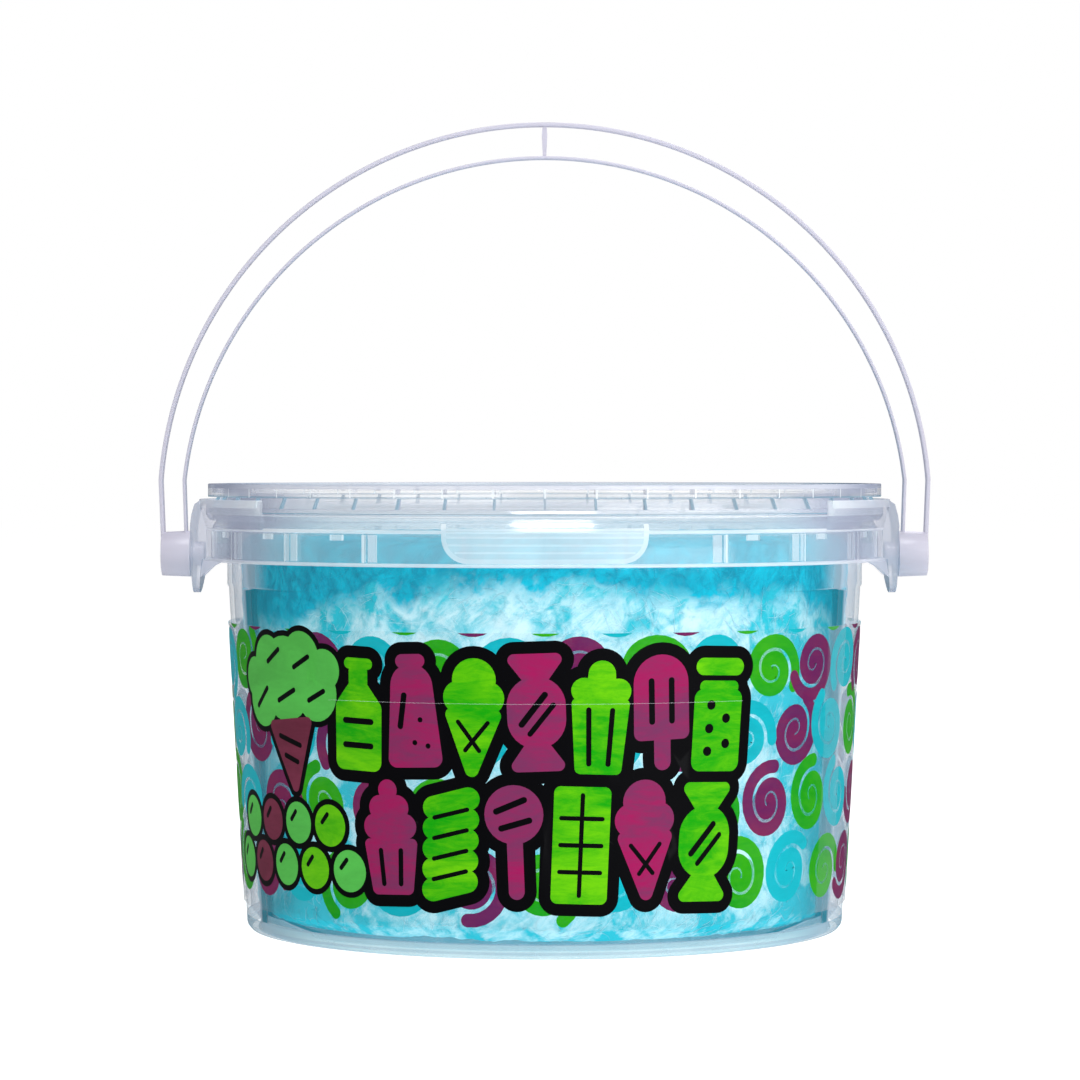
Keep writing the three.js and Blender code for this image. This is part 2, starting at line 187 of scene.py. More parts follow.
class LabelSizes(bpy.types.PropertyGroup):
    """The printed wrap label"""

    low: length("Lower edge", 6.1, "Height of the label's lower edge")
    high: length("Upper edge", 67, "Height of the label's upper edge")
    clearance: length("Clearance", 0.3, "Gap between the wall and the film")
    film: length("Film", 0.2, "Thickness of the film")
    ink: length("Ink", 0.04, "Step from one layer of ink to the next")
    outline: length("Outline", 2.5, "Width of the black line round the sweets")
    seam: length("Seam", 9, "Width of the film's overlap")
    seam_place: degrees("Seam place", 60, "From the front to the overlap, on the right")
    fold: length("Fold", 52.5, "Height of the crease across the front")
    swirl_columns: count("Swirl columns", 29, "Swirls in one row round the tub")
    swirl_rows: count("Swirl rows", 4, "Rows of swirls")
    swirl_pitch: length("Swirl pitch", 14.6, "Height from one row to the next")
    swirl_stroke: length("Swirl stroke", 2.85, "Width of a swirl's line")
    swirl_growth: length("Swirl growth", 1.66, "Radius that a swirl gains in its first half turn")
    swirl_core: length("Swirl core", 4.3, "Radius of the thin ink behind a swirl's middle")
    swirl_widening: number("Swirl widening", 1.06, "How much faster each half turn grows")
    swirl_turns: count("Swirl half turns", 4, "Half turns of a swirl, the last one being its tail")
    swirl_tail: degrees("Swirl tail", 140, "Angle of the last turn")


class Finishes(bpy.types.PropertyGroup):
    """Colours and clearness"""

    plastic: colour("Plastic", (0.58, 0.61, 0.71), "Haze of the clear plastic")
    bloom: colour("Bloom", (0.36, 0.62, 0.74), "Haze of the plastic that the candy lights up")
    lid: colour("Lid", (0.74, 0.76, 0.83), "Haze of the lid where it faces forward")
    # Frosted tone of the grip tab, and a painted highlight on beads, rib edges, tab ridges, the lip and the
    # label's fold.
    frost_and_highlight: colour("Frost", (0.84, 0.90, 0.95), "Haze of beads and ribs")
    # Painted shade: dark lines along thin edges of the plastic and round the foot.
    vein: colour("Vein", (0.20, 0.34, 0.44), "Haze of thin edges and of the foot's lines")
    # Painted shade: the darker tone that the lid, the collar and the ears take where they curve away.
    rim: colour("Rim", (0.33, 0.36, 0.47), "Haze of the lid and the collar where they curve away")
    ear: colour("Ear", (0.50, 0.51, 0.60), "Haze of the thick ears")
    # Painted shade: the dark teal band where the wall curves away before the candy's shaded edge.
    flank_shade: colour("Flank", (0.002, 0.16, 0.23), "Haze of the wall where it curves away before the candy")
    foot: colour("Foot", (0.26, 0.48, 0.56), "Haze of the thick foot")
    wall_haze: share("Wall haze", 0.006, "How milky one face of the wall is")
    base_haze: share("Base haze", 0.4, "How milky the thick foot is")
    collar_haze: share("Collar haze", 0.11, "How milky one face of the collar is")
    lid_haze: share("Lid haze", 0.07, "How milky one face of the lid is")
    # The grip tab's frosted tone, also used for painted highlights on the collar's top edge and the lip.
    pad_haze: share("Pad haze", 0.38, "How milky the grip tab is")
    bead_haze: share("Bead haze", 0.42, "How milky the lid's upper edge is")
    # Painted highlights on beads and ribs; this haze also carries the painted shade lines.
    painted_line_haze: share("Rib haze", 0.5, "How milky beads and ribs are")
    ear_haze: share("Ear haze", 0.55, "How milky the thick ears are")
    # Where the plastic curves away these limbs thicken the haze in darker tones: painted shade.
    wall_limb: share("Wall limb", 0.3, "How much milkier the wall is where it curves away")
    collar_limb: share("Collar limb", 0.3, "The same for the collar")
    lid_limb: share("Lid limb", 0.44, "The same for the lid")
    handle: colour("Handle", (0.71, 0.695, 0.78), "Natural plastic of the handle")
    # Painted shade: the deep cyan of the candy under the collar and lid.
    candy_deep_shade: colour("Deep candy", (0.0, 0.27, 0.41), "Dense, moist candy near the top")
    candy_glow: colour("Glowing candy", (0.0, 0.46, 0.64), "Light fibres of the dense candy")
    # Candy in the hollows, and painted shade at the sides, at the foot and behind the label.
    candy_blue: colour("Blue candy", (0.02, 0.49, 0.62), "Candy in the hollows")
    candy_pale: colour("Pale candy", (0.30, 0.68, 0.80), "Fluffy candy")
    candy_white: colour("White candy", (0.58, 0.85, 0.93), "Palest fluff")
    green: colour("Green ink", (0.03, 0.35, 0.0), "Green ink")
    forest: colour("Forest ink", (0.002, 0.325, 0.0), "Green ink of the sweets over blue candy")
    lime: colour("Lime ink", (0.14, 0.54, 0.0), "Green ink of the sweets over pale candy")
    magenta: colour("Magenta ink", (0.18, 0.012, 0.075), "Magenta ink")
    plum: colour("Plum ink", (0.16, 0.028, 0.1), "Magenta ink of the sweets over blue candy")
    rose: colour("Rose ink", (0.33, 0.006, 0.09), "Magenta ink of the sweets over pale candy")
    violet: colour("Violet ink", (0.11, 0.008, 0.085), "Magenta ink over blue candy")
    leaf: colour("Leaf ink", (0.0, 0.28, 0.002), "Green ink over blue candy")
    cyan: colour("Cyan ink", (0.0, 0.34, 0.41), "Cyan ink")
    aqua: colour("Aqua ink", (0.0, 0.42, 0.50), "The lighter cast of the cyan ink")
    mint: colour("Mint ink", (0.07, 0.39, 0.06), "Pale green ink of the emblem")
    wine: colour("Wine ink", (0.12, 0.018, 0.04), "Dark red ink of the emblem")
    black: colour("Black ink", (0.0015, 0.0015, 0.0025), "Black ink")


class StageSizes(bpy.types.PropertyGroup):
    """Camera, light and floor"""

    distance: length("Distance", 880, "From the tub's axis to the camera")
    height: length("Height", 101.1, "Height of the camera")
    aside: length("Aside", 1, "How far the camera stands to the left")
    lens: number("Lens", 133.33, "Focal length in mm")
    dip: degrees("Dip", 1.074, "How far the camera looks down")
    floor: length("Floor", 6000, "Radius of the floor")
    sky: share("Sky", 0.22, "Brightness of the white surroundings as a light")


class TubSettings(bpy.types.PropertyGroup):
    """Everything a user can set"""

    tub: bpy.props.PointerProperty(type=TubSizes)
    lid: bpy.props.PointerProperty(type=LidSizes)
    handle: bpy.props.PointerProperty(type=HandleSizes)
    candy: bpy.props.PointerProperty(type=CandySizes)
    label: bpy.props.PointerProperty(type=LabelSizes)
    finish: bpy.props.PointerProperty(type=Finishes)
    stage: bpy.props.PointerProperty(type=StageSizes)


def wall_radius(tub, z):
    """Outside radius of the tub's wall at a height below the step."""
    return tub.foot_radius + (z - MM) * tub.draft


def film_radius(settings, z):
    """Outside radius of the label's film at a height."""
    label = settings.label
    return wall_radius(settings.tub, z) + label.clearance + label.film


# ---------- shader values ----------
# Sockets of a Mix node that mixes colours.
COLOUR_A, COLOUR_B, COLOUR_RESULT = 6, 7, 2


class Value:
    """A shader socket. Arithmetic on it adds Math nodes."""

    def __init__(self, finish, socket):
        self.finish = finish
        self.socket = socket

    def math(self, operation, *others):
        """A Math node on this value and others, in that order."""
        inputs = dict(enumerate((self, *others)))
        return self.finish.node("ShaderNodeMath", inputs, operation=operation).value()

    def reverse(self, operation, other):
        """The same with a plain number first."""
        return self.finish.node("ShaderNodeMath", {0: other, 1: self}, operation=operation).value()

    def __add__(self, other):
        return self.math("ADD", other)

    def __radd__(self, other):
        return self.math("ADD", other)

    def __sub__(self, other):
        return self.math("SUBTRACT", other)

    def __rsub__(self, other):
        return self.reverse("SUBTRACT", other)

    def __mul__(self, other):
        return self.math("MULTIPLY", other)

    def __rmul__(self, other):
        return self.math("MULTIPLY", other)

    def __pow__(self, other):
        return self.math("POWER", other)

    def step(self, low, high):
        """Runs smoothly from 0 to 1 as this value goes from low to high."""
        inputs = {"Value": self, "From Min": low, "From Max": high}
        return self.finish.node("ShaderNodeMapRange", inputs, interpolation_type="SMOOTHSTEP").value()


class Node:
    """A node of a finish, with its outputs as shader values."""

    def __init__(self, finish, node):
        self.finish = finish
        self.node = node

    def value(self, output=0):
        return Value(self.finish, self.node.outputs[output])


class Finish:
    """A material, built node by node."""

    def __init__(self, name):
        self.material = bpy.data.materials.new(name)
        self.material.use_nodes = True
        self.tree = self.material.node_tree
        self.tree.nodes.clear()

    def node(self, kind, inputs=None, **settings):
        """Adds a node with its settings, then the values or links of its inputs."""
        made = self.tree.nodes.new(kind)
        for key, value in settings.items():
            setattr(made, key, value)
        for key, value in (inputs or {}).items():
            if isinstance(value, Value):
                self.tree.links.new(value.socket, made.inputs[key])
            else:
                made.inputs[key].default_value = value
        return Node(self, made)

    def place(self, scale=(1, 1, 1), lean=0.0):
        """Object coordinates, leant about the Y axis and stretched."""
        source = self.node("ShaderNodeTexCoord").value("Object")
        inputs = {"Vector": source, "Rotation": (0, lean, 0), "Scale": scale}
        return self.node("ShaderNodeMapping", inputs, vector_type="TEXTURE").value()

    def along(self, axis):
        """Distance along an axis of the tub, in millimetres."""
        source = self.node("ShaderNodeTexCoord").value("Object")
        return self.node("ShaderNodeSeparateXYZ", {0: source}).value(axis) * 1000

    def noise(self, place, scale, detail=4.0, roughness=0.55, distortion=0.0):
        """A noise value round 0.5; scale is in waves for each metre."""
        inputs = {"Vector": place, "Scale": scale, "Detail": detail}
        inputs |= {"Roughness": roughness, "Distortion": distortion}
        return self.node("ShaderNodeTexNoise", inputs).value("Fac")

    def mix(self, share_of_second, first, second):
        """A mix of two colours."""
        inputs = {"Factor": share_of_second}
        for socket, tone in ((COLOUR_A, first), (COLOUR_B, second)):
            inputs[socket] = (*tone, 1) if isinstance(tone, tuple) else tone
        return self.node("ShaderNodeMix", inputs, data_type="RGBA").value(COLOUR_RESULT)

    def bump(self, height, distance, strength=1.0):
        inputs = {"Height": height, "Distance": distance, "Strength": strength}
        return self.node("ShaderNodeBump", inputs).value()

    def principled(self, **inputs):
        named = {key.replace("_", " "): value for key, value in inputs.items()}
        return self.node("ShaderNodeBsdfPrincipled", named).value()

    def blend(self, share_of_second, first, second):
        """A mix of two shaders."""
        return self.node("ShaderNodeMixShader", {0: share_of_second, 1: first, 2: second}).value()

    def done(self, shader):
        self.node("ShaderNodeOutputMaterial", {"Surface": shader})
        return self.material


# ---------- materials ----------
def clear_plastic(name, haze, low, high, limb, rim, dark=0.0, start=0.25, turn=(0.4, 0.7)):
    """Clear moulded plastic: a haze under a glossy skin, with one tone low on the tub and one high on it.

    From start on, where the surface curves away, the haze thickens by limb, and near the edge by dark times
    as much again, before it thins out. Over the span of turn its tone changes to the rim's. Where its tones
    are dark, this thicker haze is painted shade along the sides of the curving plastic.
    """
    finish = Finish(name)
    facing = finish.node("ShaderNodeLayerWeight", {"Blend": 0.5}).value("Facing")
    flow = finish.noise(finish.place((1, 1, 3)), 90)
    thicker, darker, thinner = facing.step(start, 0.62), facing.step(0.62, 0.66), facing.step(0.68, 0.73)
    curve = thicker + dark * darker - (0.6 + dark) * thinner
    milk = haze * (0.75 + 0.5 * flow) + limb * curve + 0.2 * facing**5
    front = finish.mix(finish.along("Z").step(84, 95), tuple(low), tuple(high))
    shade = finish.mix(facing.step(*turn), front, tuple(rim))
    body = finish.principled(Base_Color=shade, Roughness=0.4, Specular_IOR_Level=0.0)
    through = finish.node("ShaderNodeBsdfTransparent").value()
    inside = finish.blend(milk, through, body)
    mirror = 0.03 + 0.35 * facing**6
    gloss = {"Color": (1, 1, 1, 1), "Roughness": 0.12}
    skin = finish.node("ShaderNodeBsdfAnisotropic", gloss).value()
    return finish.done(finish.blend(mirror, inside, skin))


def plastics(part, colours, tone, haze, limb):
    """The clear materials of a moulding, in the order of the marks that paint() leaves."""
    # The wall's flank tone, thickened near its edge by the dark share, is painted shade.
    wall = ("wall", colours.wall_haze, colours.flank_shade, colours.flank_shade, colours.wall_limb, colours.plastic)
    kinds = (
        (*wall, 1.8, 0.4, (0.68, 0.72)),
        ("base", colours.base_haze, colours.foot, colours.foot, 0.2, colours.vein),
        ("neck", colours.wall_haze, colours.bloom, colours.bloom, 1.3 * limb, colours.plastic, 0.0, 0.5),
        ("collar", haze, colours.bloom, tone, limb, colours.rim, 0.0, 0.25, (0.3, 0.62)),
        # The pad tone: the frosted grip tab, and painted highlights on the collar's top edge and the lip.
        ("pad", colours.pad_haze, colours.frost_and_highlight, colours.frost_and_highlight, 0.1, colours.plastic),
        # Painted highlights on beads, rib edges and the tab's ridges.
        ("rib", colours.painted_line_haze, colours.frost_and_highlight, colours.frost_and_highlight, 0.1, colours.plastic),
        # Painted shade lines along thin edges and round the foot.
        ("vein", colours.painted_line_haze, colours.vein, colours.vein, 0.1, colours.vein),
        ("bead", colours.bead_haze, colours.plastic, colours.plastic, limb, colours.rim),
        ("ear", colours.ear_haze, colours.ear, colours.ear, 0.1, colours.rim),
        ("panel", haze, colours.bloom, tone, 0.1, tone, 0.0, 0.6),
    )
    return [clear_plastic(f"{part}_{name}", *kind) for name, *kind in kinds]


def handle_plastic(colours):
    """Natural plastic: milky, with a soft shine, and thin enough to let light through."""
    finish = Finish("handle_plastic")
    tone = (*colours.handle, 1)
    skin = finish.principled(Base_Color=tone, Roughness=0.35, Alpha=0.92)
    glow = finish.node("ShaderNodeBsdfTranslucent", {"Color": tone}).value()
    return finish.done(finish.blend(0.4, skin, glow))


def fluff(name, colours, paleness):
    """Spun sugar: pale and fleecy below, deeper in colour under the collar and lid, which is painted shade.

    The fibres lean one way or the other from cloud to cloud. Deep colour also shows in the hollows, and as
    painted shade at both sides, at the foot and, on the right, behind the label.
    """
    finish = Finish(name)
    height, across = finish.along("Z"), finish.along("X")
    cloud = finish.noise(finish.place((1.4, 1.4, 1)), 34, 6, 0.6, 0.6)
    patch = finish.noise(finish.place(), 105, 5, 0.6, 0.5)
    lean_left, lean_right = (
        finish.noise(finish.place((1, 1, 2.4), lean), 400, 6, 0.7, 0.5) for lean in (-0.7, 0.8)
    )
    turn = cloud.step(0.46, 0.54)
    wisps = lean_left * turn + lean_right * (1 - turn)
    # left and right: painted shade towards the -X and +X sides of the candy.
    left, right = (across * -1).step(24, 58), across.step(34, 64)
    # How many millimetres the deep colour of the imported candy reaches down below its mean height; at both
    # sides it reaches lower, as painted shade.
    sunk = 26 * (cloud - 0.5) + 20 * (patch - 0.5) + 8 * (wisps - 0.5) + 4 * left + 3 * right
    # packed: the deep colour under the collar and lid, painted shade.
    packed = (height + sunk).step(71, 77)
    fibre = (0.65 * wisps + 0.35 * patch).step(0.4 - 0.1 * paleness, 0.62 - 0.1 * paleness)
    soft = finish.mix(fibre, tuple(colours.candy_pale), tuple(colours.candy_white))
    low, covered = 1 - height.step(5, 14), 1 - height.step(60, 68)
    # dip: the hollows, plus painted shade at the foot (low), at both sides and behind the label on the
    # right (covered).
    dip = 1 - patch.step(0.36, 0.58) + 0.5 * low + 0.7 * left + (0.5 + 0.5 * covered) * right
    hollow = (dip * (1 - 0.5 * fibre) * (1 - 0.4 * paleness)).math("MINIMUM", 1)
    tint = finish.mix(hollow, soft, tuple(colours.candy_blue))
    dense = finish.mix(fibre, tuple(colours.candy_deep_shade), tuple(colours.candy_glow))
    tone = finish.mix(packed, tint, dense)
    fleece = finish.bump(wisps, 0.0005, 0.7)
    return finish.done(
        finish.principled(Base_Color=tone, Roughness=0.95, Specular_IOR_Level=0.02, Normal=fleece)
    )


def ink(name, rgb, cast=None, streak=0.0, alpha=1.0):
    """Printing ink on clear film. The fluff behind it shows as streaks of a second cast."""
    finish = Finish(name)
    tone = (*rgb, 1)
    if cast:
        band = finish.noise(finish.place((2.6, 2.6, 1)), 75, 6, 0.65, 0.9)
        hair = finish.noise(finish.place((4, 4, 1)), 420, 5, 0.7, 2.0)
        turn = (0.7 * band + 0.3 * hair).step(0.5 - streak, 0.5 + streak)
        tone = finish.mix(turn, tuple(rgb), tuple(cast))
    waves = finish.bump(finish.noise(finish.place(), 300, 3), 0.00003)
    inputs = {"Base_Color": tone, "Roughness": 0.42, "Specular_IOR_Level": 0.08, "Normal": waves}
    return finish.done(finish.principled(Alpha=alpha, **inputs))


def white_floor():
    """A pale studio floor that glows a little, so that it runs into the backdrop."""
    finish = Finish("studio_floor")
    grey, white = (0.45, 0.45, 0.45, 1), (1, 1, 1, 1)
    inputs = {"Base_Color": grey, "Roughness": 0.9, "Specular_IOR_Level": 0.0}
    return finish.done(finish.principled(Emission_Color=white, Emission_Strength=0.9, **inputs))


# ---------- mesh helpers ----------
def polar(radius, angle, z=0.0):
    return Vector((radius * math.cos(angle), radius * math.sin(angle), z))


def offsets(radius, height, *steps):
    """Profile points that lie some millimetres out and up from a radius and a height."""
    return [(radius + out * MM, height + up * MM) for out, up in steps]


def whole(bm):
    """Everything in a bmesh."""
    return bm.verts[:] + bm.edges[:] + bm.faces[:]


def only(kind, geom):
    """The items of one kind in what an operator gives back."""
    return [item for item in geom if isinstance(item, kind)]


def placed(name, data):
    """A new object of some data, in the scene."""
    made = bpy.data.objects.new(name, data)
    bpy.context.scene.collection.objects.link(made)
    return made


def as_mesh(name, bm):
    """A bmesh as a mesh. The bmesh is freed."""
    mesh = bpy.data.meshes.new(name)
    bm.to_mesh(mesh)
    bm.free()
    return mesh


def as_bmesh(made):
    """What an object looks like with its modifiers or its bevel, as a bmesh."""
    evaluated = made.evaluated_get(bpy.context.evaluated_depsgraph_get())
    bm = bmesh.new()
    bm.from_mesh(evaluated.to_mesh())
    evaluated.to_mesh_clear()
    return bm


def spin(bm, geom, centre, axis, angle, steps, merge=False):
    """Sweeps some geometry round an axis, and gives back its last copy."""
    return bmesh.ops.spin(
        bm, geom=geom, cent=centre, axis=axis, angle=angle, steps=steps, use_merge=merge,
        use_duplicate=False,
    )["geom_last"]


def face_out(bm):
    """Turns all faces outward."""
    bmesh.ops.recalc_face_normals(bm, faces=bm.faces)
    return bm


def move(bm, matrix):
    """Turns and moves a whole bmesh."""
    bmesh.ops.transform(bm, matrix=matrix, verts=bm.verts)
    return bm


def revolve(profile, steps, closed=False, angle=TURN):
    """Turns (radius, height) points round the Z axis, from the +X side. A closed profile gives a ring."""
    bm = bmesh.new()
    points = [bm.verts.new((radius, 0, z)) for radius, z in profile]
    pairs = list(zip(points, points[1:]))
    if closed:
        pairs.append((points[-1], points[0]))
    for pair in pairs:
        bm.edges.new(pair)
    full = angle == TURN
    if not full and closed:
        bm.faces.new(points)
    spin(bm, whole(bm), (0, 0, 0), (0, 0, 1), angle, steps, full)
    bmesh.ops.remove_doubles(bm, verts=bm.verts, dist=1e-7)
    return face_out(bm)


def round_edges(bm, offset, segments=2, least=0.5):
    """Rounds every edge that turns by more than the least angle."""
    sharp = [e for e in bm.edges if len(e.link_faces) == 2 and e.calc_face_angle() > least]
    bmesh.ops.bevel(
        bm, geom=sharp, offset=offset, offset_type="OFFSET", segments=segments, profile=0.5,
        affect="EDGES", material=-1, clamp_overlap=True,
    )


def prism(outline, low, high):
    """A flat outline of (x, z) points, extruded along Y from low to high."""
    bm = bmesh.new()
    face = bm.faces.new([bm.verts.new((x, low, z)) for x, z in outline])
    raised = bmesh.ops.extrude_face_region(bm, geom=[face])["geom"]
    bmesh.ops.translate(bm, verts=only(bmesh.types.BMVert, raised), vec=(0, high - low, 0))
    return face_out(bm)


def hull(discs, low, high, grow=0.0, segments=32):
    """The hull of some upright discs, each (x, z, radius), as a prism along Y."""
    bm = bmesh.new()
    for x, z, radius in discs:
        place = Matrix.Translation((x, (low + high) / 2, z)) @ Matrix.Rotation(math.pi / 2, 4, "X")
        bmesh.ops.create_cone(
            bm, cap_ends=True, segments=segments, radius1=radius + grow, radius2=radius + grow,
            depth=high - low, matrix=place,
        )
    if len(discs) > 1:
        made = bmesh.ops.convex_hull(bm, input=bm.verts[:], use_existing_faces=False)["geom"]
        outer = set(only(bmesh.types.BMFace, made))
        bmesh.ops.delete(bm, geom=[f for f in bm.faces if f not in outer], context="FACES")
        bmesh.ops.dissolve_limit(bm, angle_limit=0.01, verts=bm.verts, edges=bm.edges)
    return face_out(bm)


def add(bm, other, matrix=Matrix.Identity(4)):
    """Adds a bmesh to another, turned and moved, and frees it."""
    move(other, matrix)
    if matrix.determinant() < 0:
        bmesh.ops.reverse_faces(other, faces=other.faces)
    carrier = as_mesh("carrier", other)
    bm.from_mesh(carrier)
    bpy.data.meshes.remove(carrier)
    return bm


def add_both(bm, right):
    """Adds a shape on the +X side, and the same turned to the -X side."""
    left = right.copy()
    add(bm, right)
    add(bm, left, Matrix.Rotation(math.pi, 4, "Z"))


def paint(bm, mark, test=None):
    """Gives faces a material mark: all of them, or those whose middle passes a test."""
    for face in bm.faces:
        if test is None or test(face.calc_center_median()):
            face.material_index = mark
    return bm


def within(low, high, near=-1.0, far=1.0):
    """A test for paint(): heights from low to high, and distances from the axis from near to far."""
    return lambda middle: low < middle.z < high and near < middle.xy.length < far


def combine(base, tool, operation="UNION"):
    """A boolean of two bmeshes, as a new bmesh. Both are freed."""
    operands = [placed("operand", as_mesh("operand", bm)) for bm in (base, tool)]
    for operand in operands:
        for _ in PLASTICS:
            operand.data.materials.append(None)
    modifier = operands[0].modifiers.new("combine", "BOOLEAN")
    modifier.operation = operation
    modifier.solver = "EXACT"
    modifier.use_self = True
    modifier.object = operands[1]
    bm = as_bmesh(operands[0])
    for operand in operands:
        mesh = operand.data
        bpy.data.objects.remove(operand)
        bpy.data.meshes.remove(mesh)
    if not bm.faces:
        raise RuntimeError(f"the {operation.lower()} left nothing")
    return bm


def piece(name, bm, material, body, nodes=(), smooth=0.6):
    """Makes a bmesh an object that rides on a body, smooth but for edges sharper than the given angle."""
    for face in bm.faces:
        face.smooth = True
    for edge in bm.edges:
        edge.smooth = len(edge.link_faces) != 2 or edge.calc_face_angle() < smooth
    made = placed(name, as_mesh(name, bm))
    for one in material if isinstance(material, list) else [material]:
        made.data.materials.append(one)
    return dress(made, body, nodes)


def let_light_through(made):
    """Keeps a clear or printed skin from shading what lies behind it."""
    made.visible_shadow = False
    made.visible_diffuse = False
    return made


def dress(made, body, nodes=()):
    """Tells the frame what a piece rides on and the nodes that it replaces."""
    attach(made, body)
    if nodes:
        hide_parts(*nodes)
    return made


# ---------- tub ----------
def tub_shell(tub):
    """The turned part of the tub: foot, wall, neck and collar."""
    inner, collar = tub.neck_radius - tub.wall, tub.collar_radius
    skirt, bead, top = collar - tub.skirt, collar + 0.49 * MM, collar - 1.8 * MM
    low, turn, high = tub.collar_low, tub.collar_bend, tub.collar_high
    rim = LID_BOX[1].z - 3.45 * MM
    wall = [(wall_radius(tub, z), z) for z in (tub.underside, 2.9 * MM, 3.3 * MM, tub.step)]
    bm = revolve(
        [
            (0, tub.underside),
            (tub.stand_inner - 0.5 * MM, tub.underside),
            (tub.stand_inner, 0),
            (tub.stand_outer, 0),
            (tub.foot_radius - 0.15 * MM, 0.9 * MM),
            *wall,
            (tub.neck_radius, tub.step + 0.5 * MM),
            (tub.neck_radius, low),
            (tub.neck_radius, high - 1.2 * MM),
            (top - 0.6 * MM, high - 1.2 * MM),
            (skirt, turn - 0.4 * MM),
            (skirt, low),
            (bead, low),
            (bead, low + 0.5 * MM),
            (collar, low + 0.7 * MM),
            *offsets(collar, turn, (0, -0.4), (0.3, -0.2), (-0.1, 0.35), (-0.4, 1.1), (-0.45, 1.17)),
            *offsets(top, high, (0.5, -0.69), (0.3, -0.4), (0.3, 0)),
            (tub.neck_radius, high),
            (tub.neck_radius, rim),
            (inner, rim),
            (inner, low),
            (inner, tub.step + 0.9 * MM),
            (wall_radius(tub, tub.step) - tub.wall, tub.step),
            (wall_radius(tub, 4.6 * MM) - tub.wall, 4.6 * MM),
            (tub.stand_inner + 0.2 * MM, tub.floor),
            (0, tub.floor),
        ],
        256,
    )
    round_edges(bm, 0.18 * MM)
    edge = low - 0.1 * MM
    paint(bm, BASE, within(0, 3.5 * MM))
    # Two painted shade lines round the foot.
    for line in ((0.8 * MM, 1.6 * MM), (2.8 * MM, 3.4 * MM)):
        paint(bm, SHADE_LINE, within(*line, tub.foot_radius - 0.3 * MM))
    paint(bm, NECK, within(tub.step, edge, tub.neck_radius - 0.1 * MM))
    paint(bm, COLLAR, within(edge, LID_BOX[1].z))
    # A painted highlight along the collar's upper edge.
    paint(bm, PAD_FROST_AND_HIGHLIGHT, within(high - 0.3 * MM, high + 0.3 * MM, top))
    # A painted highlight on the beads that stand out past the skirt.
    return paint(bm, RIB_HIGHLIGHT, within(edge, LID_BOX[1].z, collar + 0.02 * MM))


def collar_ribs(tub):
    """Ribs between the neck and the skirt. All but those behind the tab have a flat web and a snap pad."""
    ribs = bmesh.new()
    inner = tub.neck_radius - 0.3 * MM
    far = tub.collar_radius - tub.skirt + 0.3 * MM
    proud = tub.collar_radius + 0.03 * MM
    foot, head = tub.collar_low + 0.8 * MM, tub.collar_bend - 0.6 * MM
    plain, marked = (
        [(inner, foot), (reach, foot), (reach, head), (inner, head)] for reach in (far, proud)
    )
    high = tub.collar_bend - 0.7 * MM
    web, pad = (
        [(far - depth, low), (far, low), (far, high), (far - depth, high)]
        for depth, low in ((0.6 * MM, tub.collar_low + 0.9 * MM), (0.9 * MM, high - 1.2 * MM))
    )
    spacing = (TURN / 2 - tub.front_gap) / (tub.ribs / 2 - 1)
    angles = [0] + [tub.front_gap + place * spacing for place in range(tub.ribs // 2)]
    covered = math.asin(tub.tab_width / 2 / tub.collar_radius)
    for angle in angles:
        for side in (1, -1):
            if side < 0 and angle in (angles[0], angles[-1]):
                continue
            rib = paint(prism(plain if angle < covered else marked, -0.2 * MM, 0.2 * MM), COLLAR)
            # A painted highlight on each rib's outer edge.
            paint(rib, RIB_HIGHLIGHT, lambda middle: middle.x > tub.collar_radius)
            add(ribs, rib, Matrix.Rotation(FRONT + side * angle, 4, "Z"))
            if angle < covered:
                continue
            # The webs take the frosted pad tone, the snap pads a painted highlight.
            for shape, mark, turn, half in ((web, PAD_FROST_AND_HIGHLIGHT, -0.03, 1.8 * MM), (pad, RIB_HIGHLIGHT, 0.36, 1.6 * MM)):
                beside = Matrix.Rotation(FRONT + side * (angle + turn * spacing), 4, "Z")
                add(ribs, paint(prism(shape, -half, half), mark), beside)
    return ribs


def grip_tab(tub):
    """The tab's raised border and its ridges, kept only where they lie on the skirt."""
    low, high = tub.collar_low + 0.8 * MM, tub.collar_bend + 1.7 * MM
    half, corner, border = tub.tab_width / 2, tub.tab_corner, 1.0 * MM
    collar, turn = tub.collar_radius, tub.collar_bend
    front, back = -collar - 3 * MM, -collar + 9 * MM

    def window(inset):
        top = high + 3 * MM
        spots = [(-half + corner, low + corner), (half - corner, low + corner)]
        spots += [(-half + corner, top), (half - corner, top)]
        return hull([(x, z, corner) for x, z in spots], front - inset, back + inset, -inset, 48)

    flat = combine(window(0), window(border), "DIFFERENCE")
    bars = bmesh.new()
    pitch = (high - low - border) / (tub.tab_ridges + 0.6)
    for place in range(tub.tab_ridges):
        z = low + border + (place + 0.8) * pitch
        reach = half - border / 2 - (0.45 * corner if place == 0 else 0)
        add(bars, hull([(-reach, z, 0.22 * MM), (reach, z, 0.22 * MM)], front, back, 0, 12))
    add(flat, bars)
    inside = collar - 0.5 * MM
    raised = [*offsets(inside, low, (0, -0.5), (1, -0.5)), (collar + 0.5 * MM, turn)]
    raised += [(collar - 0.5 * MM, high), (collar - 1.7 * MM, high), (inside, turn)]
    skin = revolve(raised, 256, closed=True)
    # The tab's border and ridges get a painted highlight; its plate below takes the frosted pad tone.
    tab = paint(combine(skin, flat, "INTERSECT"), RIB_HIGHLIGHT)
    thin = [(inside, low), (collar + 0.15 * MM, low), (collar + 0.15 * MM, turn)]
    thin += [(collar - 0.5 * MM, high - 0.5 * MM), (inside, turn)]
    plate = revolve(thin, 256, closed=True)
    return add(tab, paint(combine(plate, window(0.2 * MM), "INTERSECT"), PAD_FROST_AND_HIGHLIGHT))


